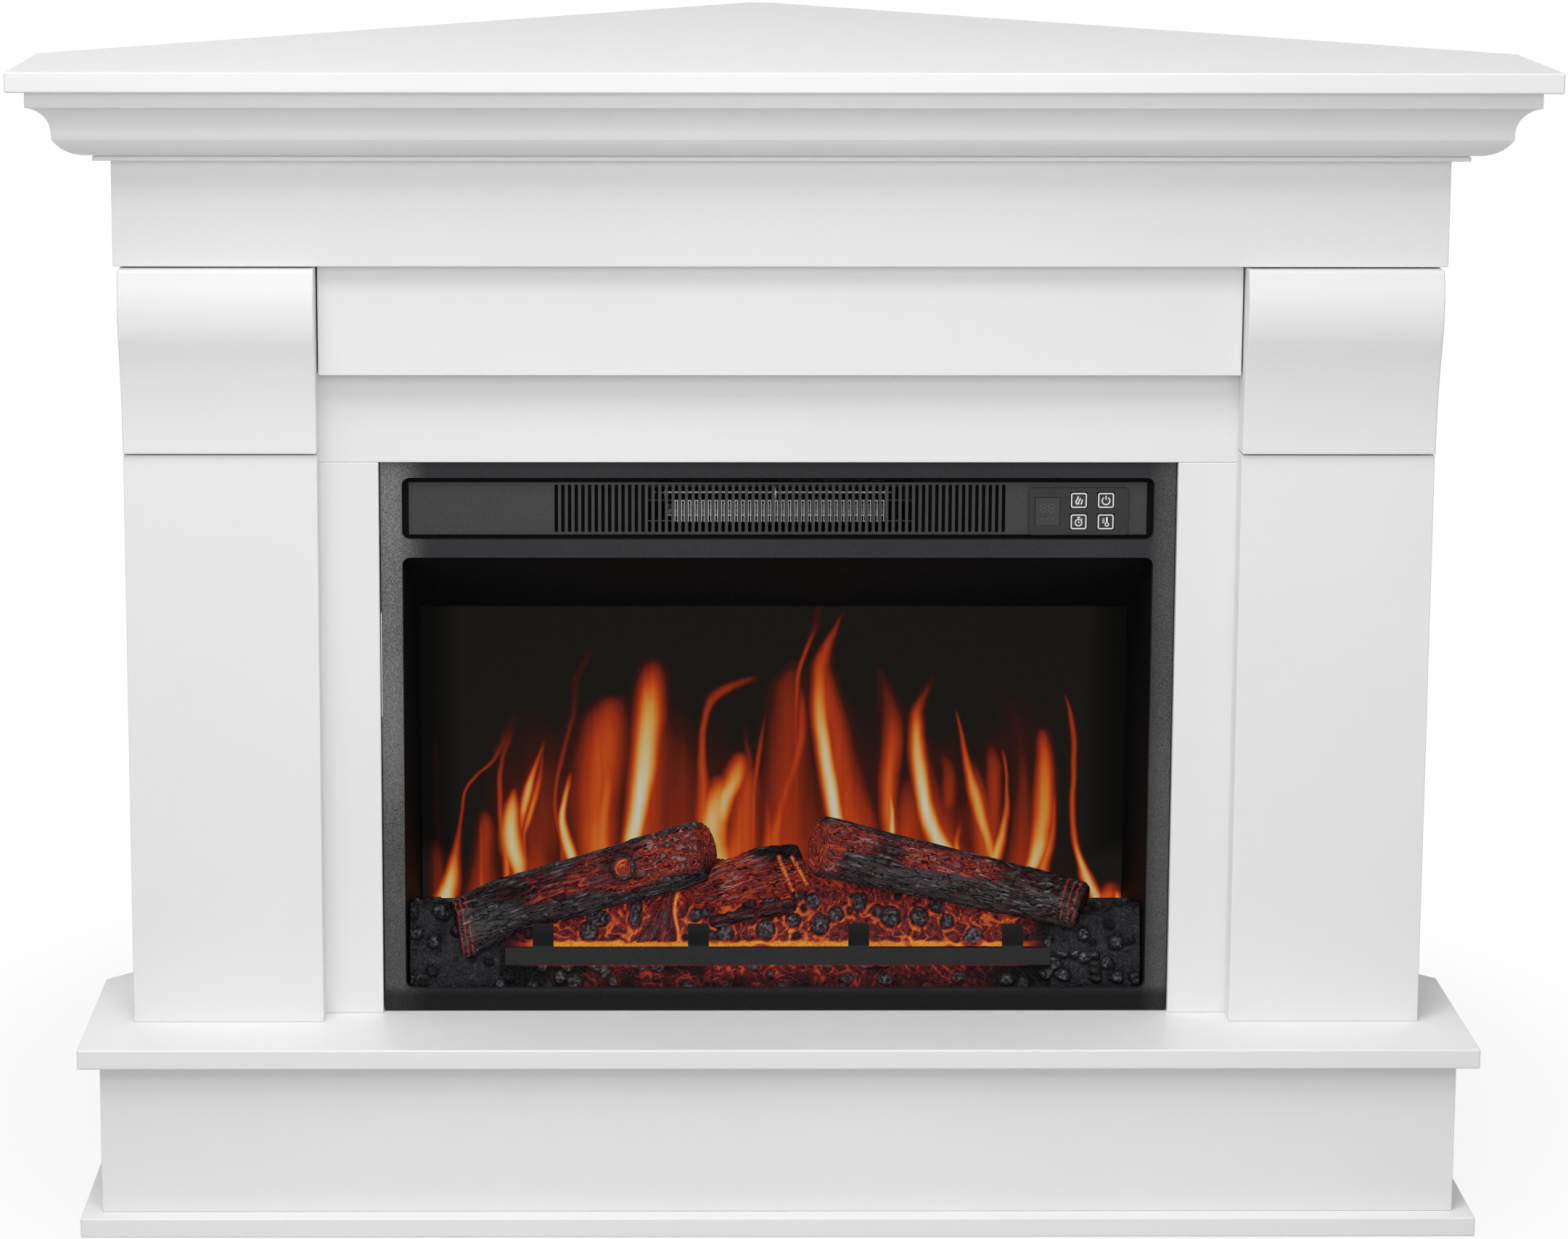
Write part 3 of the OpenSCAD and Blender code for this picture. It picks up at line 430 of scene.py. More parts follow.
def circuit_board():
    look = Shader("circuit_board", {"Roughness": 0.35})
    track = look.add("ShaderNodeTexBrick", {
        "Vector": look.place, "Scale": 260.0, "Mortar Size": 0.06,
        "Color1": (0.01, 0.09, 0.03, 1), "Color2": (0.012, 0.12, 0.04, 1), "Mortar": (0.03, 0.2, 0.07, 1),
    })
    look.put("Base Color", track.outputs["Color"])
    look.bump(look.noise(900.0), 0.1, 0.0001)
    return look.material


def mica():
    look = Shader("mica", {"Roughness": 0.5, "Coat Weight": 0.1})
    tone = look.flakes(260.0, look.scaled(1, 1, 0.5))
    look.tint(tone, (0.045, 0.034, 0.022, 1), (0.09, 0.07, 0.05, 1), 0.0, 1.0)
    look.bump(tone, 0.15, 0.0002)
    return look.material


def smoked_window():
    look = Shader("smoked_window", {"Specular IOR Level": 0.4, "Coat Weight": 0.1, "Coat Roughness": 0.2})
    smear = look.noise(60.0, 3.0)
    look.tint(smear, grey(0.020), grey(0.026))
    look.roughen(smear, 0.3, 0.42)
    return look.material


def printed_ink(name, colour):
    look = Shader(name, {"Roughness": 0.5})
    look.tint(look.noise(1800.0, 2.0), shaded(colour, 0.88), colour, 0.3, 0.6)
    return look.material


def lamp_strip():
    """The white board of the lamp strip, with warm light from its lamps."""
    look = Shader("lamp_strip", {"Roughness": 0.45, "Emission Strength": 0.6})
    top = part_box("led_strip")[1].z
    lamp = look.spread(look.axes()[2], top - 0.8 * MM, top - 0.4 * MM)
    look.tint(look.noise(300.0), grey(0.7), grey(0.78))
    look.put("Emission Color", look.mixed(lamp, BLACK, (1.0, 0.35, 0.08, 1)))
    return look.material


# ---- the flame picture ----

# Each tongue is a list of (height, centre, half width, heat) in millimetres on the flame screen,
# from its base up to its tip. Heat runs from 0, unlit, to 1, the cream core.
FLAMES = {
    "left_sweep": [
        (208, -257, 11, 1.0), (226, -252, 8, 0.85), (244, -249, 5, 0.62), (280, -243, 2, 0.42),
        (297, -240, 2, 0.42), (308, -232, 3, 0.4), (320, -219, 3, 0.36), (330, -213, 5, 0.3),
        (344, -207, 6, 0.22), (366, -200, 5, 0.0),
    ],
    "left_edge": [(220, -262, 9, 0.3), (300, -264, 5, 0.24), (330, -264, 4, 0.28), (350, -264, 3, 0.0)],
    "low_ember_a": [(200, -228, 22, 0.42), (240, -226, 12, 0.4), (270, -224, 9, 0.36), (285, -226, 5, 0.0)],
    "low_ember_edge": [(220, -228, 3, 0.52), (262, -228, 3, 0.42), (282, -226, 2, 0.0)],
    "second_core": [
        (222, -198, 5, 0.55), (234, -199, 8, 0.85), (250, -203, 10, 0.94), (268, -205, 9, 0.9),
        (284, -204, 7, 0.74), (294, -203, 4, 0.5), (302, -202, 3, 0.0),
    ],
    "second_wisp": [
        (240, -208, 4, 0.6), (262, -211, 4, 0.52), (285, -213, 3, 0.44), (304, -213, 3, 0.42),
        (322, -211, 3, 0.34), (338, -206, 4, 0.26), (360, -200, 5, 0.0),
    ],
    "third_double": [
        (262, -197, 3, 0.4), (275, -196, 4, 0.62), (292, -193, 5, 0.8), (308, -189, 4, 0.66),
        (322, -184, 3, 0.48), (334, -180, 3, 0.28), (348, -178, 3, 0.0),
    ],
    "third_twin": [
        (262, -195, 3, 0.5), (280, -189, 4, 0.64), (296, -185, 4, 0.58), (312, -182, 3, 0.42),
        (326, -180, 2, 0.26), (340, -178, 2, 0.0),
    ],
    "low_ember_b": [(215, -186, 26, 0.46), (240, -185, 16, 0.4), (262, -184, 10, 0.3), (280, -182, 7, 0.0)],
    "fourth_core": [
        (236, -155, 5, 0.9), (246, -158, 6, 0.95), (262, -162, 5, 0.92), (276, -164, 4, 0.88),
        (290, -162, 3, 0.78), (304, -159, 3, 0.52), (318, -156, 2, 0.0),
    ],
    "fourth_wisp": [
        (255, -164, 3, 0.46), (272, -168, 3, 0.44), (290, -170, 3, 0.42), (308, -168, 3, 0.4),
        (325, -164, 4, 0.34), (345, -159, 4, 0.28), (364, -155, 4, 0.24), (380, -155, 4, 0.2),
        (396, -149, 5, 0.18), (410, -142, 5, 0.12), (422, -135, 4, 0.0),
    ],
    "broad_body": [
        (238, -137, 18, 0.6), (262, -138, 20, 0.58), (285, -138, 22, 0.52), (320, -134, 24, 0.52),
        (345, -131, 23, 0.48), (362, -128, 19, 0.38), (378, -123, 12, 0.0),
    ],
    "broad_core": [(240, -133, 10, 0.68), (262, -133, 8, 0.64), (300, -130, 8, 0.55), (340, -127, 7, 0.0)],
    "blade": [
        (250, -111, 9, 1.0), (272, -107, 10, 1.0), (295, -104, 11, 1.0), (315, -101, 12, 0.97),
        (335, -99, 12, 0.9), (355, -97, 13, 0.8), (372, -96, 13, 0.66), (385, -95, 13, 0.5),
        (396, -94, 12, 0.32), (408, -93, 10, 0.0),
    ],
    "blade_skirt": [(240, -100, 26, 0.46), (290, -98, 24, 0.44), (340, -94, 20, 0.36), (380, -92, 14, 0.0)],
    "dusk": [(240, -76, 30, 0.36), (300, -74, 26, 0.3), (340, -76, 20, 0.22), (375, -80, 14, 0.0)],
    "hook_stem": [
        (270, -54, 9, 0.6), (300, -55, 7, 0.52), (320, -56, 5, 0.5), (338, -56, 4, 0.46),
        (353, -54, 4, 0.44), (364, -51, 5, 0.42), (372, -46, 8, 0.4), (378, -38, 11, 0.38),
        (383, -28, 12, 0.34), (387, -19, 10, 0.26), (391, -12, 8, 0.0),
    ],
    "vee_base": [
        (240, -44, 18, 0.88), (262, -48, 14, 0.88), (280, -46, 13, 0.84), (292, -44, 13, 0.72),
        (302, -42, 12, 0.52), (314, -42, 10, 0.0),
    ],
    "vee_arm": [
        (270, -42, 9, 0.7), (290, -38, 10, 0.84), (302, -32, 11, 0.78), (313, -28, 11, 0.66),
        (322, -26, 10, 0.48), (332, -25, 8, 0.0),
    ],
    "orange_mass": [
        (240, -28, 24, 0.55), (262, -24, 18, 0.52), (285, -22, 15, 0.5), (305, -20, 13, 0.44),
        (325, -20, 10, 0.0),
    ],
    "strand": [
        (250, -16, 5, 0.46), (280, -15, 3, 0.48), (305, -14, 3, 0.45), (328, -11, 3, 0.4),
        (348, -8, 2, 0.3), (368, -4, 2, 0.0),
    ],
    "strand_twin": [(270, -20, 3, 0.36), (318, -18, 4, 0.32), (342, -21, 3, 0.2), (356, -21, 3, 0.0)],
    "small_middle": [(240, -4, 9, 0.62), (262, -3, 7, 0.5), (285, -4, 4, 0.36), (318, -6, 3, 0.0)],
    "red_wall": [
        (240, 12, 34, 0.45), (290, 11, 28, 0.4), (330, 12, 24, 0.38), (362, 13, 21, 0.36),
        (382, 12, 18, 0.32), (395, 15, 12, 0.22), (408, 19, 8, 0.0),
    ],
    "red_wall_core": [
        (262, 2, 8, 0.54), (290, 8, 7, 0.46), (330, 20, 6, 0.48),
        (362, 23, 5, 0.42), (385, 22, 4, 0.0),
    ],
    "tall_wisp": [
        (350, 18, 3, 0.4), (375, 19, 3, 0.44), (392, 20, 3, 0.44), (405, 24, 3, 0.42),
        (416, 28, 3, 0.36), (428, 32, 5, 0.22), (440, 34, 6, 0.16), (452, 36, 6, 0.1),
    ],
    "tall_core": [
        (252, 55, 8, 1.0), (272, 50, 8, 1.0), (292, 46, 8, 1.0), (312, 43, 8, 0.97),
        (332, 40, 8, 0.9), (352, 37, 8, 0.8), (370, 36, 8, 0.68), (386, 36, 8, 0.56),
        (398, 37, 8, 0.5), (412, 41, 6, 0.44), (426, 47, 4, 0.34), (440, 53, 3, 0.16),
        (450, 57, 3, 0.06),
    ],
    "tall_skirt": [
        (248, 62, 30, 0.52), (270, 60, 26, 0.5), (295, 56, 22, 0.48), (320, 52, 18, 0.47),
        (345, 48, 16, 0.46), (370, 44, 12, 0.44), (395, 41, 8, 0.3), (412, 42, 5, 0.0),
    ],
    "shoulder": [(245, 72, 16, 0.46), (270, 73, 12, 0.42), (290, 70, 8, 0.34), (312, 66, 6, 0.0)],
    "fourth_right": [
        (264, 92, 9, 0.6), (285, 90, 9, 0.58), (305, 90, 10, 0.56), (325, 92, 10, 0.52),
        (342, 93, 10, 0.46), (358, 92, 11, 0.34), (374, 89, 9, 0.26), (390, 84, 6, 0.18),
        (404, 78, 5, 0.0),
    ],
    "fourth_right_core": [(262, 93, 4, 0.95), (276, 93, 3, 0.85), (292, 92, 3, 0.6), (310, 92, 3, 0.0)],
    "ember_patch": [(250, 105, 22, 0.46), (275, 106, 16, 0.42), (295, 106, 12, 0.32), (318, 104, 9, 0.0)],
    "fifth_core": [
        (246, 136, 13, 1.0), (260, 128, 10, 1.0), (275, 122, 9, 1.0), (293, 118, 8, 0.96),
        (312, 115, 8, 0.88), (330, 112, 8, 0.78), (344, 111, 7, 0.68), (357, 111, 7, 0.5),
        (369, 115, 6, 0.34), (383, 122, 5, 0.2), (396, 126, 4, 0.0),
    ],
    "fifth_glow": [(245, 135, 26, 0.5), (285, 124, 17, 0.4), (320, 117, 12, 0.3), (350, 115, 9, 0.0)],
    "drift": [
        (280, 136, 9, 0.3), (295, 138, 9, 0.38), (310, 138, 9, 0.34),
        (322, 134, 9, 0.26), (338, 128, 8, 0.0),
    ],
    "spark": [(246, 145, 4, 0.8), (255, 144, 4, 0.6), (266, 146, 4, 0.4), (280, 148, 4, 0.0)],
    "sixth_core": [
        (244, 172, 6, 0.72), (258, 169, 6, 0.74), (274, 164, 7, 0.76), (293, 159, 7, 0.74),
        (312, 154, 5, 0.62), (332, 149, 3, 0.5), (350, 145, 2, 0.42), (366, 141, 2, 0.0),
    ],
    "sixth_glow": [(242, 168, 14, 0.5), (280, 164, 12, 0.46), (310, 158, 8, 0.34), (330, 152, 5, 0.0)],
    "arc": [
        (222, 164, 7, 0.9), (238, 172, 7, 0.86), (252, 177, 6, 0.78), (268, 181, 4, 0.66),
        (285, 183, 3, 0.54), (303, 183, 2, 0.48), (320, 181, 2, 0.42), (334, 177, 2, 0.0),
    ],
    "arc_body": [
        (240, 168, 10, 0.5), (265, 172, 9, 0.44), (290, 173, 8, 0.43), (312, 173, 8, 0.4),
        (328, 171, 7, 0.28), (342, 170, 5, 0.0),
    ],
    "plume": [
        (240, 194, 16, 0.38), (270, 196, 14, 0.34), (300, 196, 11, 0.28), (335, 192, 9, 0.2),
        (360, 187, 8, 0.15), (380, 180, 5, 0.0),
    ],
    "seventh_core": [
        (232, 202, 8, 0.86), (245, 207, 9, 0.9), (262, 210, 10, 0.78), (284, 212, 10, 0.72),
        (304, 212, 9, 0.66), (322, 212, 8, 0.56), (338, 211, 7, 0.42), (352, 210, 4, 0.0),
    ],
    "seventh_edge": [
        (236, 212, 6, 0.66), (252, 217, 5, 0.56), (270, 220, 3, 0.5), (286, 220, 3, 0.44),
        (302, 218, 2, 0.0),
    ],
    "last_wisp": [
        (212, 254, 6, 0.9), (224, 248, 6, 0.86), (236, 243, 4, 0.82), (250, 238, 3, 0.66),
        (268, 235, 3, 0.54), (290, 234, 3, 0.5), (312, 235, 3, 0.48), (334, 235, 3, 0.46),
        (352, 233, 3, 0.42), (366, 230, 2, 0.36), (377, 226, 2, 0.0),
    ],
    "last_glow": [(196, 258, 14, 0.62), (208, 262, 13, 0.6), (217, 265, 10, 0.46), (227, 266, 6, 0.0)],
    "last_spark": [(200, 271, 5, 0.86), (210, 271, 4, 0.74), (219, 270, 3, 0.0)],
}
# Half widths are held as shares of WIDEST, and every tongue is widened by SPREAD. Its light falls
# off as e to the power of FALL_OFF times the square of the distance in half widths.
WIDEST = 50.0
SPREAD = 1.18
FALL_OFF = -1.55
# The picture turns dark between these distances from its middle, but only above these heights, in
# metres
EDGE_X = (0.268, 0.238)
EDGE_Z = (0.262, 0.238)


def flame_sheet():
    """A lit picture of flames: every tongue is one set of curves over the height."""
    x0, x1, _, _, low, top = box_mm("flame_screen")
    high = top + 10
    look = Shader("flame_sheet", {
        "Base Color": grey(0.002), "Roughness": 0.6, "Specular IOR Level": 0.0, "Emission Strength": 1.0,
    })
    x, _, z = look.axes()
    rise = look.spread(z, low * MM, high * MM, kind="LINEAR")
    waver = look.math("SUBTRACT", look.noise(1.0, 2.0, 0.5, look.scaled(28, 28, 16)), 0.5)
    across = look.spread(look.math("MULTIPLY_ADD", waver, 0.004, x), x0 * MM, x1 * MM, kind="LINEAR")
    height = look.add("ShaderNodeCombineColor", {"Red": rise, "Green": rise, "Blue": rise}).outputs[0]
    # Where 0 lies for the centre, half width and heat curves, and how much 1 is
    scales = ((x0, x1 - x0), (0.0, WIDEST / SPREAD), (0.0, 1.0))
    lit = None
    for points in FLAMES.values():
        curves = look.add("ShaderNodeRGBCurve", {"Color": height})
        curves.mapping.extend = "HORIZONTAL"
        for channel, (start, scale) in enumerate(scales):
            line = curves.mapping.curves[channel].points
            while len(line) < len(points):
                line.new(0.5, 0.5)
            for spot, point in zip(line, points):
                spot.location = ((point[0] - low) / (high - low), (point[channel + 1] - start) / scale)
                spot.handle_type = "AUTO_CLAMPED"
        curves.mapping.update()
        centre, half, heat = look.add("ShaderNodeSeparateColor", {"Color": curves.outputs[0]}).outputs
        offset = look.math("DIVIDE", look.math("SUBTRACT", across, centre), half)
        offset = look.times(offset, (x1 - x0) / WIDEST)
        tongue = look.times(heat, look.math("EXPONENT", look.times(offset, offset, FALL_OFF)))
        lit = tongue if lit is None else look.math("SMOOTH_MAX", lit, tongue, 0.1)
    aside = look.math("ABSOLUTE", x)
    patch = look.spread(look.noise(1.0, 2.0, 0.5, look.scaled(16, 16, 5)), 0.32, 0.68, 0.12, 0.36)
    floor_glow = look.times(look.spread(z, 0.430, 0.250), look.spread(aside, EDGE_X[0], 0.18), patch)
    lit = look.math("SMOOTH_MAX", lit, floor_glow, 0.1)
    streak = look.noise(1.0, 3.0, 0.6, look.scaled(150, 150, 7))
    lit = look.times(lit, look.spread(streak, 0.25, 0.75, 0.93, 1.05))
    colour = look.ramp(
        lit, (0.0, srgb(25, 25, 22)), (0.09, srgb(24, 21, 18)), (0.20, srgb(52, 20, 15)),
        (0.32, srgb(108, 34, 18)), (0.43, srgb(150, 46, 18)), (0.54, srgb(180, 72, 22)),
        (0.64, srgb(186, 106, 36)), (0.76, srgb(190, 142, 70)), (0.90, srgb(188, 168, 122)),
        (1.0, srgb(188, 182, 166)),
    )
    inside = look.math("MAXIMUM", look.spread(aside, *EDGE_X), look.spread(z, *EDGE_Z))
    colour = look.mixed(inside, srgb(10, 10, 9), colour)
    facing = look.math("LESS_THAN", look.facing_y(), -0.5)
    look.put("Emission Color", look.mixed(facing, BLACK, colour))
    return look.material


# The colour of painted highlights and glints on charred resin
PAINTED_HIGHLIGHT = srgb(118, 117, 123)


def glowing(name, dark, pale, tilt=None):
    """Charred resin lit from behind. The mesh says where: red is the cracks, green the warm skin, blue the
    raised parts, which are paler with a painted highlight and painted glints. Fine creases wind over it, or
    with a tilt run along the piece; painted shade darkens them."""
    look = Shader(name, {"Emission Strength": 1.0})
    fire = look.add("ShaderNodeAttribute", attribute_name="fire").outputs["Color"]
    crack, warm, high = look.add("ShaderNodeSeparateColor", {"Color": fire}).outputs
    where, size, depth = look.place, 230.0, 0.4
    if tilt is not None:
        inputs = {"Vector": look.place, "Rotation": (0, math.radians(tilt), 0)}
        turned = look.add("ShaderNodeMapping", inputs).outputs[0]
        where, size, depth = look.scaled(42, 190, 190, turned), 1.0, 1.0
    wave = look.math("SUBTRACT", look.noise(size, 2.5, 0.55, where), 0.5)
    crease = look.math("ABSOLUTE", wave)
    cut = look.spread(crease, 0.028, 0.006, 0.0, depth)
    lip = look.spread(look.math("ABSOLUTE", look.math("SUBTRACT", wave, 0.045)), 0.022, 0.005)
    mottle = look.noise(420.0, 3.0, 0.6)
    # Painted highlight: raised parts are paler, glints sit beside the creases on them, and the highest
    # parts turn pale grey
    tone = look.math("ADD", look.times(mottle, 0.5), look.times(high, 0.4))
    painted_glint = look.times(lip, high, look.spread(look.noise(75.0, 2.0), 0.46, 0.6))
    base = look.mixed(painted_glint, look.ramp(tone, (0.2, dark), (0.75, pale)), PAINTED_HIGHLIGHT)
    base = look.mixed(look.spread(high, 0.82, 1.0, 0.0, 0.4), base, PAINTED_HIGHLIGHT)
    # Painted shade: the creases turn nearly black
    look.put("Base Color", look.mixed(look.times(cut, 0.85), base, srgb(5, 5, 6)))
    look.roughen(tone, 0.6, 0.36, 0.3, 0.75)
    shine = look.spread(tone, 0.4, 0.8, 0.05, 0.4)
    look.put("Specular IOR Level", look.times(shine, look.math("SUBTRACT", 1.0, cut)))
    skin = look.spread(look.noise(330.0, 3.0, 0.7), 0.34, 0.64, 0.22, 1.0)
    heat = look.times(warm, skin, 0.50, look.math("MULTIPLY_ADD", cut, -0.75, 1.0))
    heat = look.math("MAXIMUM", heat, look.times(crack, look.math("MULTIPLY_ADD", cut, -0.5, 1.0)))
    line = look.times(lip, look.spread(warm, 0.1, 0.75), 0.46 + 0.2 * depth)
    look.put("Emission Color", look.ramp(
        look.math("MAXIMUM", heat, line),
        (0.0, BLACK), (0.10, srgb(34, 6, 7)), (0.30, srgb(86, 20, 20)),
        (0.50, srgb(132, 38, 26)), (0.75, srgb(176, 76, 26)), (1.0, srgb(206, 138, 36)),
    ))
    relief = look.math("MULTIPLY_ADD", look.spread(crease, 0.0, 0.08), 2.4 * depth, look.noise(900.0, 3.0))
    look.bump(relief, 0.8, 0.0008)
    return look.material


FINISH = {
    "white_mdf": white_paint(),
    "backing_board": backing_board(),
    "raw_timber": timber(),
    "zinc_steel": galvanised(),
    # A painted sheen pales the frame's left and right bars, and painted shade darkens its sill
    "charcoal_enamel": powder_coat(
        "charcoal_enamel", srgb(25, 25, 28), srgb(60, 60, 63), painted_sheen=(-262, 276, srgb(176, 176, 172)),
        darkened_band=(168, 158),
    ),
    "panel_plastic": moulded("panel_plastic", srgb(36, 36, 37), 0.5),
    "smoked_window": smoked_window(),
    "circuit_board": circuit_board(),
    "mica": mica(),
    "hot_wire": brushed_metal("hot_wire", (0.86, 0.84, 0.80, 1)),
    "bare_aluminium": brushed_metal("bare_aluminium", (0.80, 0.81, 0.82, 1)),
    "motor_black": moulded("motor_black", grey(0.02), 0.4),
    "flame_sheet": flame_sheet(),
    "nylon": moulded("nylon", (0.72, 0.70, 0.62, 1), 0.4),
    "ember_resin": glowing("ember_resin", srgb(19, 19, 20), srgb(72, 71, 76)),
    "char_log": glowing("char_log", srgb(17, 16, 16), srgb(60, 59, 62)),
    "lamp_strip": lamp_strip(),
    "gland_rubber": moulded("gland_rubber", grey(0.015), 0.55),
}
INNER_BLACK_AND_SHADE = powder_coat("inner_black", srgb(9, 9, 10), srgb(22, 22, 24), shine=0.08)
# Painted shade darkens the floors of the grille's blind slots
GRILLE_COAT = powder_coat("grille_coat", srgb(46, 46, 48), srgb(86, 86, 86), 900.0, painted_hollow_shade=109.4)
# The grate's fingers above the bar are darker
GRATE_COAT = powder_coat("grate_coat", srgb(16, 16, 17), srgb(50, 50, 51), darkened_band=(194.5, 196.5))
LEFT_BARK = glowing("left_bark", srgb(18, 17, 17), srgb(62, 61, 64), 16)
RIGHT_BARK = glowing("right_bark", srgb(20, 19, 19), srgb(62, 62, 63), -12)
WHITE_INK = printed_ink("white_ink", grey(0.80))
DIM_INK = printed_ink("dim_ink", srgb(74, 74, 72))

for entry in frame["record"]["materials"]:
    for node in frame["nodes"].values():
        if node.material_slots and node.material_slots[0].material.name.split(".")[0] == entry["slot"]:
            node.material_slots[0].material = FINISH[entry["slot"]]
# The header and cheeks are black; the heater tray and blower housing take the same black as painted shade
# seen through the fascia's gaps and slots
for name in ("header_panel", "cheek_left", "cheek_right", "heater_tray", "blower_housing"):
    frame["nodes"][name].material_slots[0].material = INNER_BLACK_AND_SHADE


# ---- pieces made from meshes ----

def piece(name, mesh, finish, body="mantel", stands_for=()):
    """Puts a mesh into the scene as a piece of the object."""
    mesh.materials.clear()
    mesh.materials.append(finish)
    made = linked(name, mesh)
    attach(made, body)
    if stands_for:
        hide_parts(*stands_for)
    return made


# In degrees: edges flatter than this shade smooth, and faces flatter than this are one face
SMOOTH_BELOW = 38
FLAT_BELOW = 0.5


def edged(node, width, finish=FINISH["white_mdf"], skip=None, sharp=35, steps=3):
    """A copy of a CAD node with its sharp edges rounded, which stands for the node."""
    source = frame["nodes"][node].data
    work = bmesh.new()
    corners = [work.verts.new(v.co) for v in source.vertices]
    for polygon in source.polygons:
        work.faces.new([corners[i] for i in polygon.vertices])
    bmesh.ops.remove_doubles(work, verts=work.verts, dist=1e-5)
    bmesh.ops.dissolve_limit(
        work, angle_limit=math.radians(FLAT_BELOW), verts=work.verts, edges=work.edges,
    )
    edges = [
        e for e in work.edges
        if len(e.link_faces) == 2 and e.calc_face_angle() > math.radians(sharp) and not (skip and skip(e))
    ]
    bmesh.ops.bevel(
        work, geom=edges, offset=width * MM, offset_type="OFFSET", segments=steps, profile=0.5,
        affect="EDGES", clamp_overlap=True,
    )
    made = piece(node + "_edged", mesh_from(work, node + "_edged"), finish, stands_for=(node,))
    made.data.shade_smooth()
    made.data.set_sharp_from_angle(angle=math.radians(SMOOTH_BELOW))
    made.modifiers.new("normals", "WEIGHTED_NORMAL").keep_sharp = True


def slanted(edge):
    """True for the edges of a mitre, which lie across both X and Y."""
    along = (edge.verts[0].co - edge.verts[1].co).normalized()
    return abs(along.x) > 0.2 and abs(along.y) > 0.2


for name in ("top_slab", "hearth_slab", "plinth_slab"):
    edged(name, 1.4)
for name in (
    "frieze_front", "frieze_returns", "upper_lintel", "lower_lintel", "pilaster_left",
    "pilaster_right", "surround_left", "surround_right", "box_front", "box_side_left",
    "box_side_right",
):
    edged(name, 0.8)
for name in ("corbel_left", "corbel_right"):
    edged(name, 1.2, sharp=50)
for name in ("crown_front", "crown_left", "crown_right"):
    edged(name, 0.5, skip=slanted, sharp=50, steps=2)

edged("insert_frame", 1.1, finish=FINISH["charcoal_enamel"])
edged("fascia_grille", 0.35, finish=GRILLE_COAT, steps=2)
edged("control_panel", 0.5, finish=FINISH["panel_plastic"], steps=2)
edged("grate", 0.7, finish=GRATE_COAT, steps=2)


# ---- symbols on the keys and the display ----

def ribbon(work, points, width, closed, front, back):
    """Adds a flat line of one width along points (x, z), between two setbacks, in millimetres."""
    count = len(points)
    rings = []
    for i, point in enumerate(points):
        before = points[i - 1] if i or closed else point
        after = points[(i + 1) % count] if i < count - 1 or closed else point
        heading = (Vector(after) - Vector(before)).normalized() * width / 2
        left = Vector(point) + Vector((-heading.y, heading.x))
        right = Vector(point) - Vector((-heading.y, heading.x))
        corners = ((left, front), (right, front), (right, back), (left, back))
        rings.append([work.verts.new(at(p.x, setback, p.y)) for p, setback in corners])
    for i in range(count if closed else count - 1):
        a, b = rings[i], rings[(i + 1) % count]
        for k in range(4):
            work.faces.new((a[k], a[(k + 1) % 4], b[(k + 1) % 4], b[k]))
    if not closed:
        work.faces.new(rings[0][::-1])
        work.faces.new(rings[-1])


def arc(x, z, radius, start, end, steps=16):
    turns = [math.radians(start + (end - start) * k / steps) for k in range(steps + 1)]
    return [(x + radius * math.cos(t), z + radius * math.sin(t)) for t in turns]


def rounded(half_x, half_z, corner):
    """A rectangle with round corners, about the origin."""
    x, z = half_x - corner, half_z - corner
    quarters = ((x, z, 0), (-x, z, 90), (-x, -z, 180), (x, -z, 270))
    return [p for cx, cz, start in quarters for p in arc(cx, cz, corner, start, start + 90, 5)]


INK_THICK = 0.12
INK_SUNK = 0.02


def symbol(node, strokes, finish, body):
    """Printed strokes (points, width, closed) on the front of a node, about its centre."""
    x0, x1, front, _, z0, z1 = box_mm(node)
    work = bmesh.new()
    for points, width, closed in strokes:
        placed = [((x0 + x1) / 2 + x, (z0 + z1) / 2 + z) for x, z in points]
        ribbon(work, placed, width, closed, front - INK_THICK, front + INK_SUNK)
    bmesh.ops.recalc_face_normals(work, faces=work.faces)
    piece(node + "_symbol", mesh_from(work, node + "_symbol"), finish, body)


KEY_RING = (rounded(5.5, 5.2, 1.2), 0.9, True)
SYMBOLS = {
    "key_flame": (
        ([(-1.0, -3.1), (-2.2, -2.0), (-2.2, -0.5), (-1.0, 0.9), (-0.5, 3.2)], 1.1, False),
        ([(0.2, -3.1), (-0.4, -1.9), (0.3, -0.5), (1.2, 1.8)], 0.95, False),
        ([(1.3, -3.0), (2.2, -2.0), (2.2, -0.8), (2.8, 0.6)], 0.95, False),
    ),
    "key_power": (
        (arc(0, -0.3, 2.9, 125, 415), 0.9, False),
        ([(0, 0.5), (0, 3.5)], 0.9, False),
    ),
    "key_timer": (
        (arc(0, -0.6, 2.5, 0, 345), 0.85, True),
        ([(0, 2.0), (0, 3.0)], 0.7, False),
        ([(-1.1, 3.3), (1.1, 3.3)], 0.8, False),
        ([(2.0, 1.7), (2.7, 2.4)], 0.8, False),
        ([(0, 0.7), (0, -0.7), (1.1, -0.7)], 0.7, False),
    ),
    "key_heat": (
        ([(0.9, 3.5), (0.9, -0.8)], 1.4, False),
        (arc(0.9, -2.0, 1.3, 0, 345), 0.8, True),
        ([(-2.6, 2.2), (-0.8, 2.2)], 0.6, False),
        ([(-2.6, 0.8), (-0.8, 0.8)], 0.6, False),
        ([(-2.6, -0.6), (-0.8, -0.6)], 0.6, False),
    ),
}
for node, strokes in SYMBOLS.items():
    symbol(node, (KEY_RING,) + strokes, WHITE_INK, node)


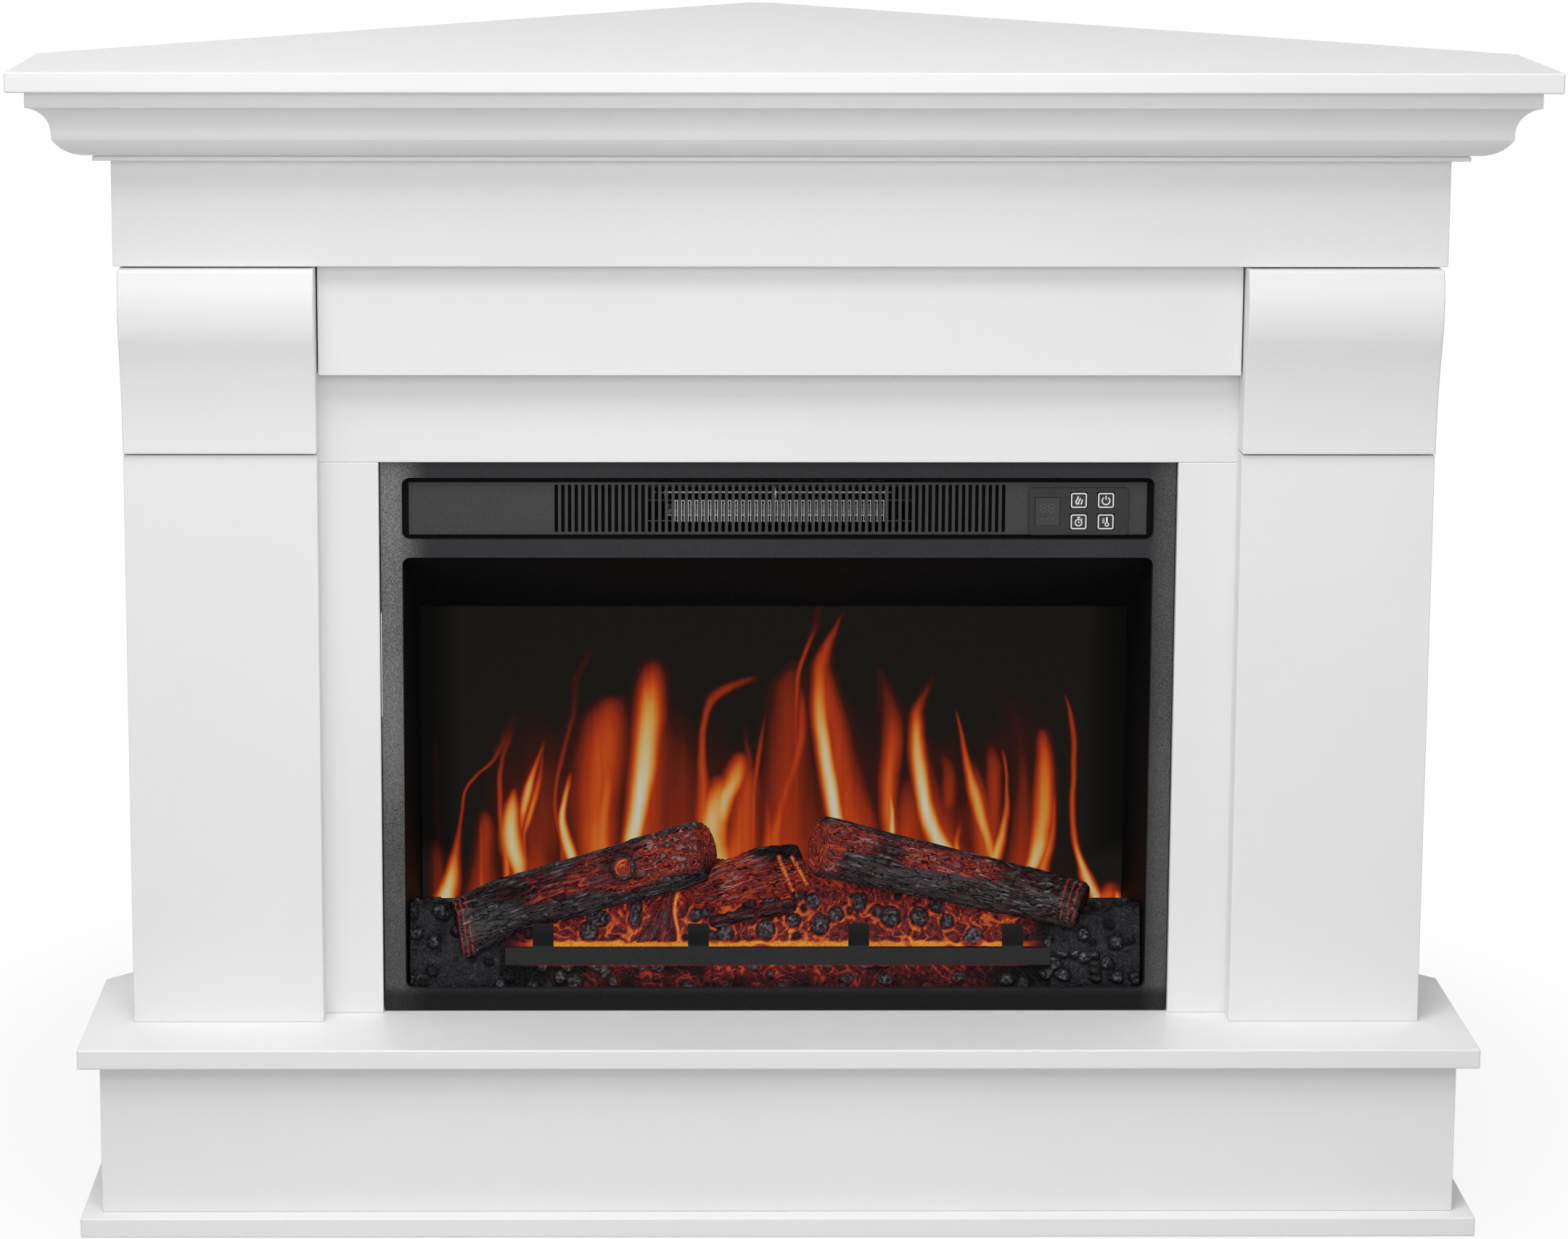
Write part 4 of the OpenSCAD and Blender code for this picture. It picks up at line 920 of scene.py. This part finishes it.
def digit(x, z):
    """The seven bars of one unlit figure, about a centre."""
    flat = [([(x - 1.5, z + h), (x + 1.5, z + h)], 0.6, False) for h in (-3, 0, 3)]
    tall = [
        ([(x + side, z + start), (x + side, z + start + 2.2)], 0.6, False)
        for side in (-2.1, 2.1) for start in (-2.6, 0.4)
    ]
    return flat + tall


BLOCKS = [([(x - 0.7, -5.5), (x + 0.7, -5.5)], 0.9, False) for x in (-4, 0, 4)]
symbol("display_window", digit(-3.2, 2.6) + digit(3.0, 2.6) + BLOCKS, DIM_INK, "mantel")


# ---- the log set ----

def clamped(value):
    return max(0.0, min(1.0, value))


def ease(value, low, high):
    """0 below low, 1 above high, smooth between; low may be the larger."""
    share = clamped((value - low) / (high - low))
    return share * share * (3 - 2 * share)


def ridge(x, y, z, width):
    """1 along the creases of a noise field, falling to 0 beside them."""
    return ease(abs(noise.noise((x, y, z))), width, 0.0)


def beside(x, z, start, end):
    """Distance in millimetres from a point to a line between two points, all (x, z)."""
    start, end, here = Vector(start), Vector(end), Vector((x, z))
    along = clamped((here - start).dot(end - start) / (end - start).length_squared)
    return (here - start.lerp(end, along)).length


def sheet_of(name, rows, columns, spot):
    """A grid whose rows are closed rings, from spot(row, column): a place and the three fire values."""
    corners, fire = [], []
    for i in range(rows):
        for j in range(columns):
            place, values = spot(i, j)
            corners.append(place)
            fire.append(values)
    faces = [tuple(reversed(range(columns))), tuple(range((rows - 1) * columns, rows * columns))]
    for i in range(rows - 1):
        for j in range(columns):
            k = (j + 1) % columns
            faces.append((i * columns + j, i * columns + k, (i + 1) * columns + k, (i + 1) * columns + j))
    mesh = bpy.data.meshes.new(name)
    mesh.from_pydata(corners, [], faces)
    colours = mesh.color_attributes.new("fire", "FLOAT_COLOR", "POINT")
    for cell, values in zip(colours.data, fire):
        cell.color = tuple(clamped(v) for v in values) + (1,)
    work = bmesh.new()
    work.from_mesh(mesh)
    bmesh.ops.recalc_face_normals(work, faces=work.faces)
    work.to_mesh(mesh)
    work.free()
    return mesh


# Points round a log, millimetres between its rings, and rings on each of its ends
RING = 190
STEP = 1.15
CAP = 16
# How far a log's rim is rounded off inwards, and along the log
RIM_IN = 2.6
RIM_LONG = 4.5


def log(name, foot, foot_r, head, head_r, grain, finish, slants=(0, 0, 0), stands_for=(), ring=RING):
    """A charred log between two points, with both ends cut aslant by the given millimetres, and
    the foot's end also turned upright by a share of its radius.
    grain(along, turn, radius, place, share) gives a height and the three fire values."""
    foot, head = at(*foot), at(*head)
    length = (head - foot).length / MM
    axis = (head - foot).normalized()
    toward = Vector((0, -1, 0))
    toward = (toward - axis * toward.dot(axis)).normalized()
    upward = axis.cross(toward)
    if upward.z < 0:
        upward = -upward
    steps = int(length / STEP)
    spans = [(0.0, (k + 0.5) / CAP) for k in range(CAP)]
    spans += [(length * k / steps, 1.0) for k in range(steps + 1)]
    spans += [(length, (k + 0.5) / CAP) for k in reversed(range(CAP))]

    def spot(i, j):
        along, share = spans[i]
        turn = 2 * math.pi * j / ring
        side, front = math.sin(turn), math.cos(turn)
        radius = foot_r + (head_r - foot_r) * along / length
        radius -= RIM_IN * max(0.0, 1 - min(along, length - along) / RIM_LONG) ** 2
        lean = 0.5 + 0.5 * share * front
        moved = along + lean * (slants[0] * (1 - along / length) - slants[1] * along / length)
        moved += slants[2] * radius * share * side * (1 - along / length)
        spoke = toward * front + upward * side
        place = foot + (axis * moved + spoke * radius * share) * MM
        height, crack, warm, high = grain(along, turn, radius, place, share)
        if share < 1:
            out = axis if along else -axis
            groove = noise.noise((share * radius / 1.6, 1.4 * front, 1.4 * side + along))
            place += (out * 0.9 * groove + spoke * height * share ** 6) * MM
            crack = max(crack * share ** 6, ease(groove, 0.0, -0.3) * warm * 0.8)
            # The raised parts of the cut end take painted highlight
            high = ease(groove, 0.0, 0.35) * 0.6
        else:
            place += spoke * height * MM
        return place, (crack, warm, high)

    made = piece(name, sheet_of(name, len(spans), ring, spot), finish, stands_for=stands_for)
    made.data.shade_smooth()


def bark(along, turn, radius, seed):
    """Long fissures along a log: height, how deep in a crack and how high on a rib."""
    across, up = radius * math.cos(turn), radius * math.sin(turn)
    bend = noise.noise((along / 26, across / 15, up / 15 + seed))
    coarse = ridge(along / 30, across / 5.0 + bend, up / 5.0 + seed, 0.17)
    fine = ridge(along / 11, across / 2.4 + bend, up / 2.4 - seed, 0.2)
    swell = noise.noise((along / 40, across / 26, up / 26 + 2 * seed))
    rib = noise.noise((along / 20, across / 2.3 + bend, up / 2.3 + seed + 4))
    height = 1.4 * swell - 1.7 * coarse - 0.5 * fine + 0.5 * rib - 0.7
    return height, max(coarse, 0.75 * fine), ease(rib, 0.05, 0.45) * (1 - coarse)


def worms(place, seed):
    """Short winding creases with shiny rolls between them."""
    where = place * 150 + Vector((seed, 0, 0))
    bend = Vector((noise.noise(where * 0.7), noise.noise(where * 0.7 + Vector((9, 9, 9))), 0)) * 0.8
    value = abs(noise.noise(where + bend))
    return ease(value, 0.17, 0.0), ease(value, 0.2, 0.42)


def end_rings(wave, marks, width, turn, place):
    """Rings round a log's end at the marks: how deep they are cut, and how they glow."""
    cut = max(ease(abs(wave - mark), width, 0.3) for mark in marks)
    broken = ease(noise.noise(place * 70), -0.6, -0.1)
    return cut, 0.55 * cut * broken * ease(math.cos(turn), -0.2, 0.3)


# How far the logs' lit upper side is turned from straight up, and the knot's x and z
LIT_TURN = 0.26
KNOT = (-117, 254.6)


def left_grain(along, turn, radius, place, share):
    height, crack, high = bark(along, turn, radius, 3.7)
    x, z, side = place.x / MM, place.z / MM, math.sin(turn - LIT_TURN)
    rolled = ease(x, -130, -92) * ease(side, -0.85, -0.4)
    worm, roll = worms(place, 1.3)
    height += rolled * (1.3 * roll - 1.3 * worm)
    crack += (worm - crack) * rolled * 0.75
    high = max(high * (1 - 0.5 * rolled), roll * rolled)
    patch = ease(noise.noise(place * 27), 0.3, -0.15)
    limit = -0.5 + 0.15 * ease(x, -110, -170) + 0.6 * ease(x, -175, -227) + 0.3 * noise.noise(place * 40)
    lit = ease(side, limit - 0.14, limit + 0.14) * ease(side, 0.97, 0.8)
    warm = (0.08 + 0.77 * ease(x, -220, -125)) * lit * (0.35 + 0.65 * patch)
    glow = (0.34 + 0.45 * ease(x, -225, -140)) * (0.35 + 0.65 * patch) * (0.12 + 0.88 * lit)
    crack *= glow
    # Away from the glow the bark takes a paler tone with painted glints
    high = max(high, 0.75 * (1 - lit))
    height += 11 * ease(side, -0.1, -0.9) * ease(x, -190, -240)
    height -= 5 * ease(side, 0.3, 0.95) * ease(x, -212, -250)
    if along < 16:
        wave = along + 1.2 * noise.noise((turn * 3, 2, 5))
        cut, shining = end_rings(wave, (0.6, 5.0, 9.5), 1.0, turn, place)
        crack = max(crack, shining)
        height -= 0.5 * cut
    knot = math.hypot(x - KNOT[0], z - KNOT[1])
    if knot < 16 and math.cos(turn) > 0:
        swell = math.exp(-((knot - 7.8) / 1.5) ** 2)
        height = height * ease(knot, 9, 15) + 2.6 * swell - 1.4 * ease(knot, 6.8, 4)
        # The ring's lower right is paler: a painted highlight
        highlight_side = ease((x - KNOT[0]) - (z - KNOT[1]), -6, 6)
        high = high * ease(knot, 10, 15) + swell * (0.5 + 0.5 * highlight_side)
        warm = warm * ease(knot, 8.5, 11) + 0.9 * ease(knot, 7.4, 6)
        twist = math.atan2(z - KNOT[1], x - KNOT[0])
        outer = ease(abs(knot - 5.2 - 0.5 * math.sin(2 * twist)), 1.0, 0.3)
        outer *= ease(math.cos(twist + 0.6), 0.3, -0.4)
        inner = ease(abs(knot - 2.6), 0.9, 0.3) * ease(math.sin(twist), -0.3, 0.4)
        crack = crack * ease(knot, 9, 11) + (0.42 + 0.45 * max(outer, inner)) * ease(knot, 7.2, 6.2)
    if share < 1 and along:
        warm = 0.75 * ease(share * side, -0.9, 0.2)
    return height, crack, warm, high


def right_grain(along, turn, radius, place, share):
    height, crack, high = bark(along, turn, radius, 8.1)
    x, side = place.x / MM, math.sin(turn - LIT_TURN)
    limit = 0.02 + 0.2 * ease(x, 100, 160) + 0.3 * noise.noise(place * 34)
    upper = max(ease(side, limit - 0.12, limit + 0.12), ease(x, 58, 46) * ease(side, -1.0, -0.7))
    worm, roll = worms(place, 5.1)
    height += upper * (1.1 * roll - 1.3 * worm) * ease(side, 0.95, 0.7)
    crack += (worm - crack) * upper * 0.7
    # Rolls, and the bark away from the glow, take a paler tone with painted glints
    high = max(high, roll * upper * 0.7, 0.75 * (1 - upper))
    patch = ease(noise.noise(place * 30), 0.25, -0.2)
    warm = upper * ease(side, 0.97, 0.8) * (0.25 + 0.6 * ease(x, 215, 130)) * (0.3 + 0.7 * patch)
    edge = ease(abs(side - limit), 0.16, 0.0) * ease(x, 210, 170)
    crack = max(crack * (0.14 + 0.6 * warm), 0.62 * edge * ease(noise.noise(place * 60), -0.1, 0.3))
    if along > 198:
        wave = along - 0.4 * turn + 1.2 * noise.noise((turn * 3, 7, 5))
        cut, shining = end_rings(wave, (205.0, 211.0, 216.0), 1.1, turn, place)
        crack = max(crack, shining)
        height -= 0.5 * cut
    if share < 1 and not along:
        warm, crack = 0.8, max(crack, 0.7 * worm)
    return height, crack, warm, high


def stub_grain(along, turn, radius, place, share):
    height, crack, high = bark(along, turn, radius, 12.4)
    x, z, side = place.x / MM, place.z / MM, math.sin(turn)
    right = ease(x, -7, -1)
    upright = ridge(x / 2.6 + z / 9, z / 26, 3.3, 0.2)
    stripe = min(beside(x, z, (3, 262), (15, 229)), beside(x, z, (13, 263), (25.5, 235)))
    height += right * (1.2 - 1.2 * upright) - 2.0 * ease(stripe, 2.6, 0.6)
    height -= 8.5 * ease(x, -16, 20) * ease(side, -0.2, 0.8)
    height -= 3.5 * ease(x, -34, -62) * ease(side, -0.6, 0.6)
    patch = ease(noise.noise(place * 36), 0.25, -0.15)
    top = ease(z, 263, 256)
    warm = top * (0.55 + 0.45 * patch)
    crack = max((crack * (1 - right) + 0.6 * upright * right) * 0.62 * top, 0.88 * ease(stripe, 2.4, 0.8))
    return height, crack, warm, high * (1 - 0.4 * right)


def twig_grain(along, turn, radius, place, share):
    height, crack, high = bark(along, turn, radius * 0.8, 21.7)
    return 0.45 * height, 0.3 * crack, 0.16, high


log(
    "left_log_bark", (-251, 135, 207.5), 22, (-45, 143, 263), 24.5, left_grain, LEFT_BARK,
    (8, 15, 0.12), ("log_left",),
)
log(
    "right_log_bark", (27, 143, 267), 24, (243, 135, 219), 19.5, right_grain, RIGHT_BARK,
    (13, 10, 0), ("log_right",),
)
log(
    "middle_log_bark", (-64, 137, 229), 15, (21, 153, 249.5), 23, stub_grain, LEFT_BARK,
    stands_for=("log_centre",),
)
log("twig", (-50, 129, 208), 5.2, (16, 134, 221), 6.4, twig_grain, LEFT_BARK, ring=48)


# ---- the ember bed ----

# Millimetres between the bed's sections, and how many points each leg of a section has
BED_STEP = 1.15
RUNS = (29, 62, 22, 5, 6)
# Larger lumps, each as its x, its height above the floor and its radius
LUMPS = (
    (-143, 202, 7.7), (-132, 211, 5.8), (-108, 219, 6.7), (-53, 218, 7), (-38, 201, 7), (-7, 203, 7.7),
    (30, 223, 6), (34.7, 207, 8), (65.5, 220, 5.5), (89.5, 212, 8), (111.7, 212, 7.5), (133, 209, 6),
    (154, 199, 7), (-262, 197, 5.5), (-258, 168, 6.5), (-233, 205, 4.5), (262, 196, 6), (238, 200, 5),
)
# Where over the front the grate's bar hides the change of cell size, and where the unlit ends start
BAR_REACH = 42
LIT_X = 212


def embers(x, z, reach):
    """Height and the three fire values of the bed's surface; reach is measured up over its front."""
    above = reach > BAR_REACH
    ends = abs(x) > LIT_X
    size = 19.0 if above and not ends else 14.0
    where = Vector((x / size, reach / size, 0.37 if above else 4.1))
    sway = noise.noise(where * 1.3)
    gaps, _ = noise.voronoi(where + Vector((0.25 * sway, -0.2 * sway, 0)))
    out = gaps[0] / 0.40
    if above:
        out = min(out, min(math.hypot(x - cx, z - cz) / radius for cx, cz, radius in LUMPS))
    crease = noise.noise((x / 2.3, reach / 2.3, 3))
    crumple = abs(noise.noise((x / 4.6, reach / 4.6, 5)))
    fold = noise.noise((x / 7, reach / 7, 8))
    dome = math.sqrt(max(0.0, 1 - out * out))
    height = -1.3 + 3.4 * dome + (1.1 * crease + 2.6 * crumple) * (0.3 + 0.7 * dome) + 0.9 * fold
    height -= 0.7 * ease(out, 1.5, 1.05) * (dome == 0)
    # Painted highlight: the lumps' domes are paler with glints, and the unlit ends a little paler
    high = max(ease(out, 0.95, 0.6) * ease(crease + crumple, -0.3, 0.5), 0.34 * ends * ease(out, 1.0, 1.3))
    halo = ease(out, 1.42, 1.12) * ease(out, 0.92, 1.06)
    halo *= 0.3 + 0.7 * ease(noise.noise((x / 5, reach / 5, 12)), -0.25, 0.15)
    bend = noise.noise((x / 11, reach / 11, 1))
    vein = ridge(x / 13 + bend, reach / 11 - bend, 7, 0.11)
    patch = 0.5 + 0.5 * noise.noise((x / 24, reach / 24, 5))
    if above:
        zone = ease(x, -LIT_X, -175) * ease(x, LIT_X, 182)
        crack = max((0.68 + 0.3 * patch) * halo, (0.7 + 0.4 * patch) * vein * (1 - dome))
        ragged = noise.noise((x / 9, 2, 2))
        edge = ease(z, 196.8 + 3 * ragged, 194.8 + 2 * ragged) * (0.85 + 0.3 * patch)
        crack = zone * max(crack, edge * (1 - 0.8 * dome)) * (0.75 + 0.25 * ease(z, 235, 205))
        warm = zone * (0.85 - 0.7 * ease(out, 1.05, 0.9))
        warm *= 0.55 + 0.45 * ease(fold + 0.5 * crease, -0.5, 0.2)
    else:
        zone = ease(x, -185, -110) * ease(x, 190, 120)
        strength = zone * ease(patch, 0.22, 0.6) * (0.6 + 0.4 * ease(z, 160, 178))
        crack = strength * max(0.7 * halo, 0.85 * vein * (1 - dome))
        crack = max(crack, 0.4 * ease(abs(reach - 32), 2.2, 0.6) * ease(abs(x), 205, 180))
        warm = 0.62 * strength * (1 - dome)
    return height, crack, warm, high


def roots(x, z, height, crack, warm, high):
    """A split root that spreads downwards on the middle of the bed, with a lit seam beside it."""
    fall = (231 - z) / 36
    if 0 < fall < 1:
        middle, half = -81 - 9 * fall, 3.5 + 12 * fall
        out = abs(x - middle) / half
        if out < 1.2:
            strand = noise.noise(((x - middle) / half * 3.2, z / 13, 9))
            cover = ease(out, 1.15, 0.9)
            height += (3.4 * (1 - min(1.0, out) ** 2) + 1.3 * strand - 0.8 - height) * cover
            crack += (0.5 * ease(abs(strand), 0.14, 0.0) - crack) * cover
            warm += (0.45 - warm) * cover
            # Painted highlights on the root's strands
            high += (0.45 * ease(strand, 0.0, 0.35) - high) * cover
        seam = ease(abs(x + 75.5 - 1.6 * math.sin(z / 6)), 2.4, 0.7) * ease(fall, 0, 0.1)
        crack = max(crack, seam)
        height -= 1.2 * seam
    return height, crack, warm, high


# The bed's section over its underside: the front's lip, the level of its ends and the depth of its
# top. Its sides draw in by TAPER behind the front, and its ends rise by WING at their front.
LIP_UP = 32
LEVEL_UP = 67
TOP_DEPTH = 26
TAPER = 0.1057
WING = 12


def ember_bed():
    """The moulded bed: lumps of ember on a lit skin, deep folds and veins between them."""
    _, reach_x, front, back, low, high_z = box_mm("ember_bed")
    lip, level = low + LIP_UP, low + LEVEL_UP
    lean = (back - TOP_DEPTH - front) / (high_z - lip)
    rows = int(2 * reach_x / BED_STEP)
    starts = [sum(RUNS[:n]) for n in range(len(RUNS))]

    def spot(i, j):
        across = 2 * i / rows - 1
        x = across * reach_x
        top = level + (high_z - level) * clamped((200 - abs(x)) / 130)
        crest = front + lean * (top - lip)
        wing = ease(abs(x), reach_x - 28, reach_x - 18)
        crest += (front + 5 - crest) * wing
        corners = ((front, low), (front, lip), (crest, top + WING * wing), (back, top), (back, low))
        leg = max(n for n, start in enumerate(starts) if j >= start)
        a, b = Vector(corners[leg]), Vector(corners[(leg + 1) % 5])
        here = a.lerp(b, (j - starts[leg]) / RUNS[leg])
        setback, z = here
        x = across * (reach_x - TAPER * (setback - front))
        place = at(x, setback, z)
        if leg > 2 or j == 0:
            return place, (0, 0, 0)
        passed = sum((Vector(corners[n + 1]) - Vector(corners[n])).length for n in range(leg))
        reach = passed + (here - a).length
        heading = (b - a).normalized()
        values = roots(x, z, *embers(x, z, reach))
        height = min(values[0], 1.3) if leg == 0 else values[0]
        soft = ease(reach_x - abs(x), 0, 4) * ease(back - setback, 0, 4) * ease(j, 0, 2)
        push = Vector((0, -heading.y, heading.x)) * height * soft
        hump = 8 * math.exp(-((x + 4) / 34) ** 2) * ease(reach, 92, 108) * ease(back - setback, 0, 12)
        return place + (push + Vector((0, 0, hump))) * MM, values[1:]

    mesh = sheet_of("ember_bed_cast", rows + 1, sum(RUNS), spot)
    made = piece("ember_bed_cast", mesh, FINISH["ember_resin"], stands_for=("ember_bed",))
    made.data.shade_smooth()


ember_bed()
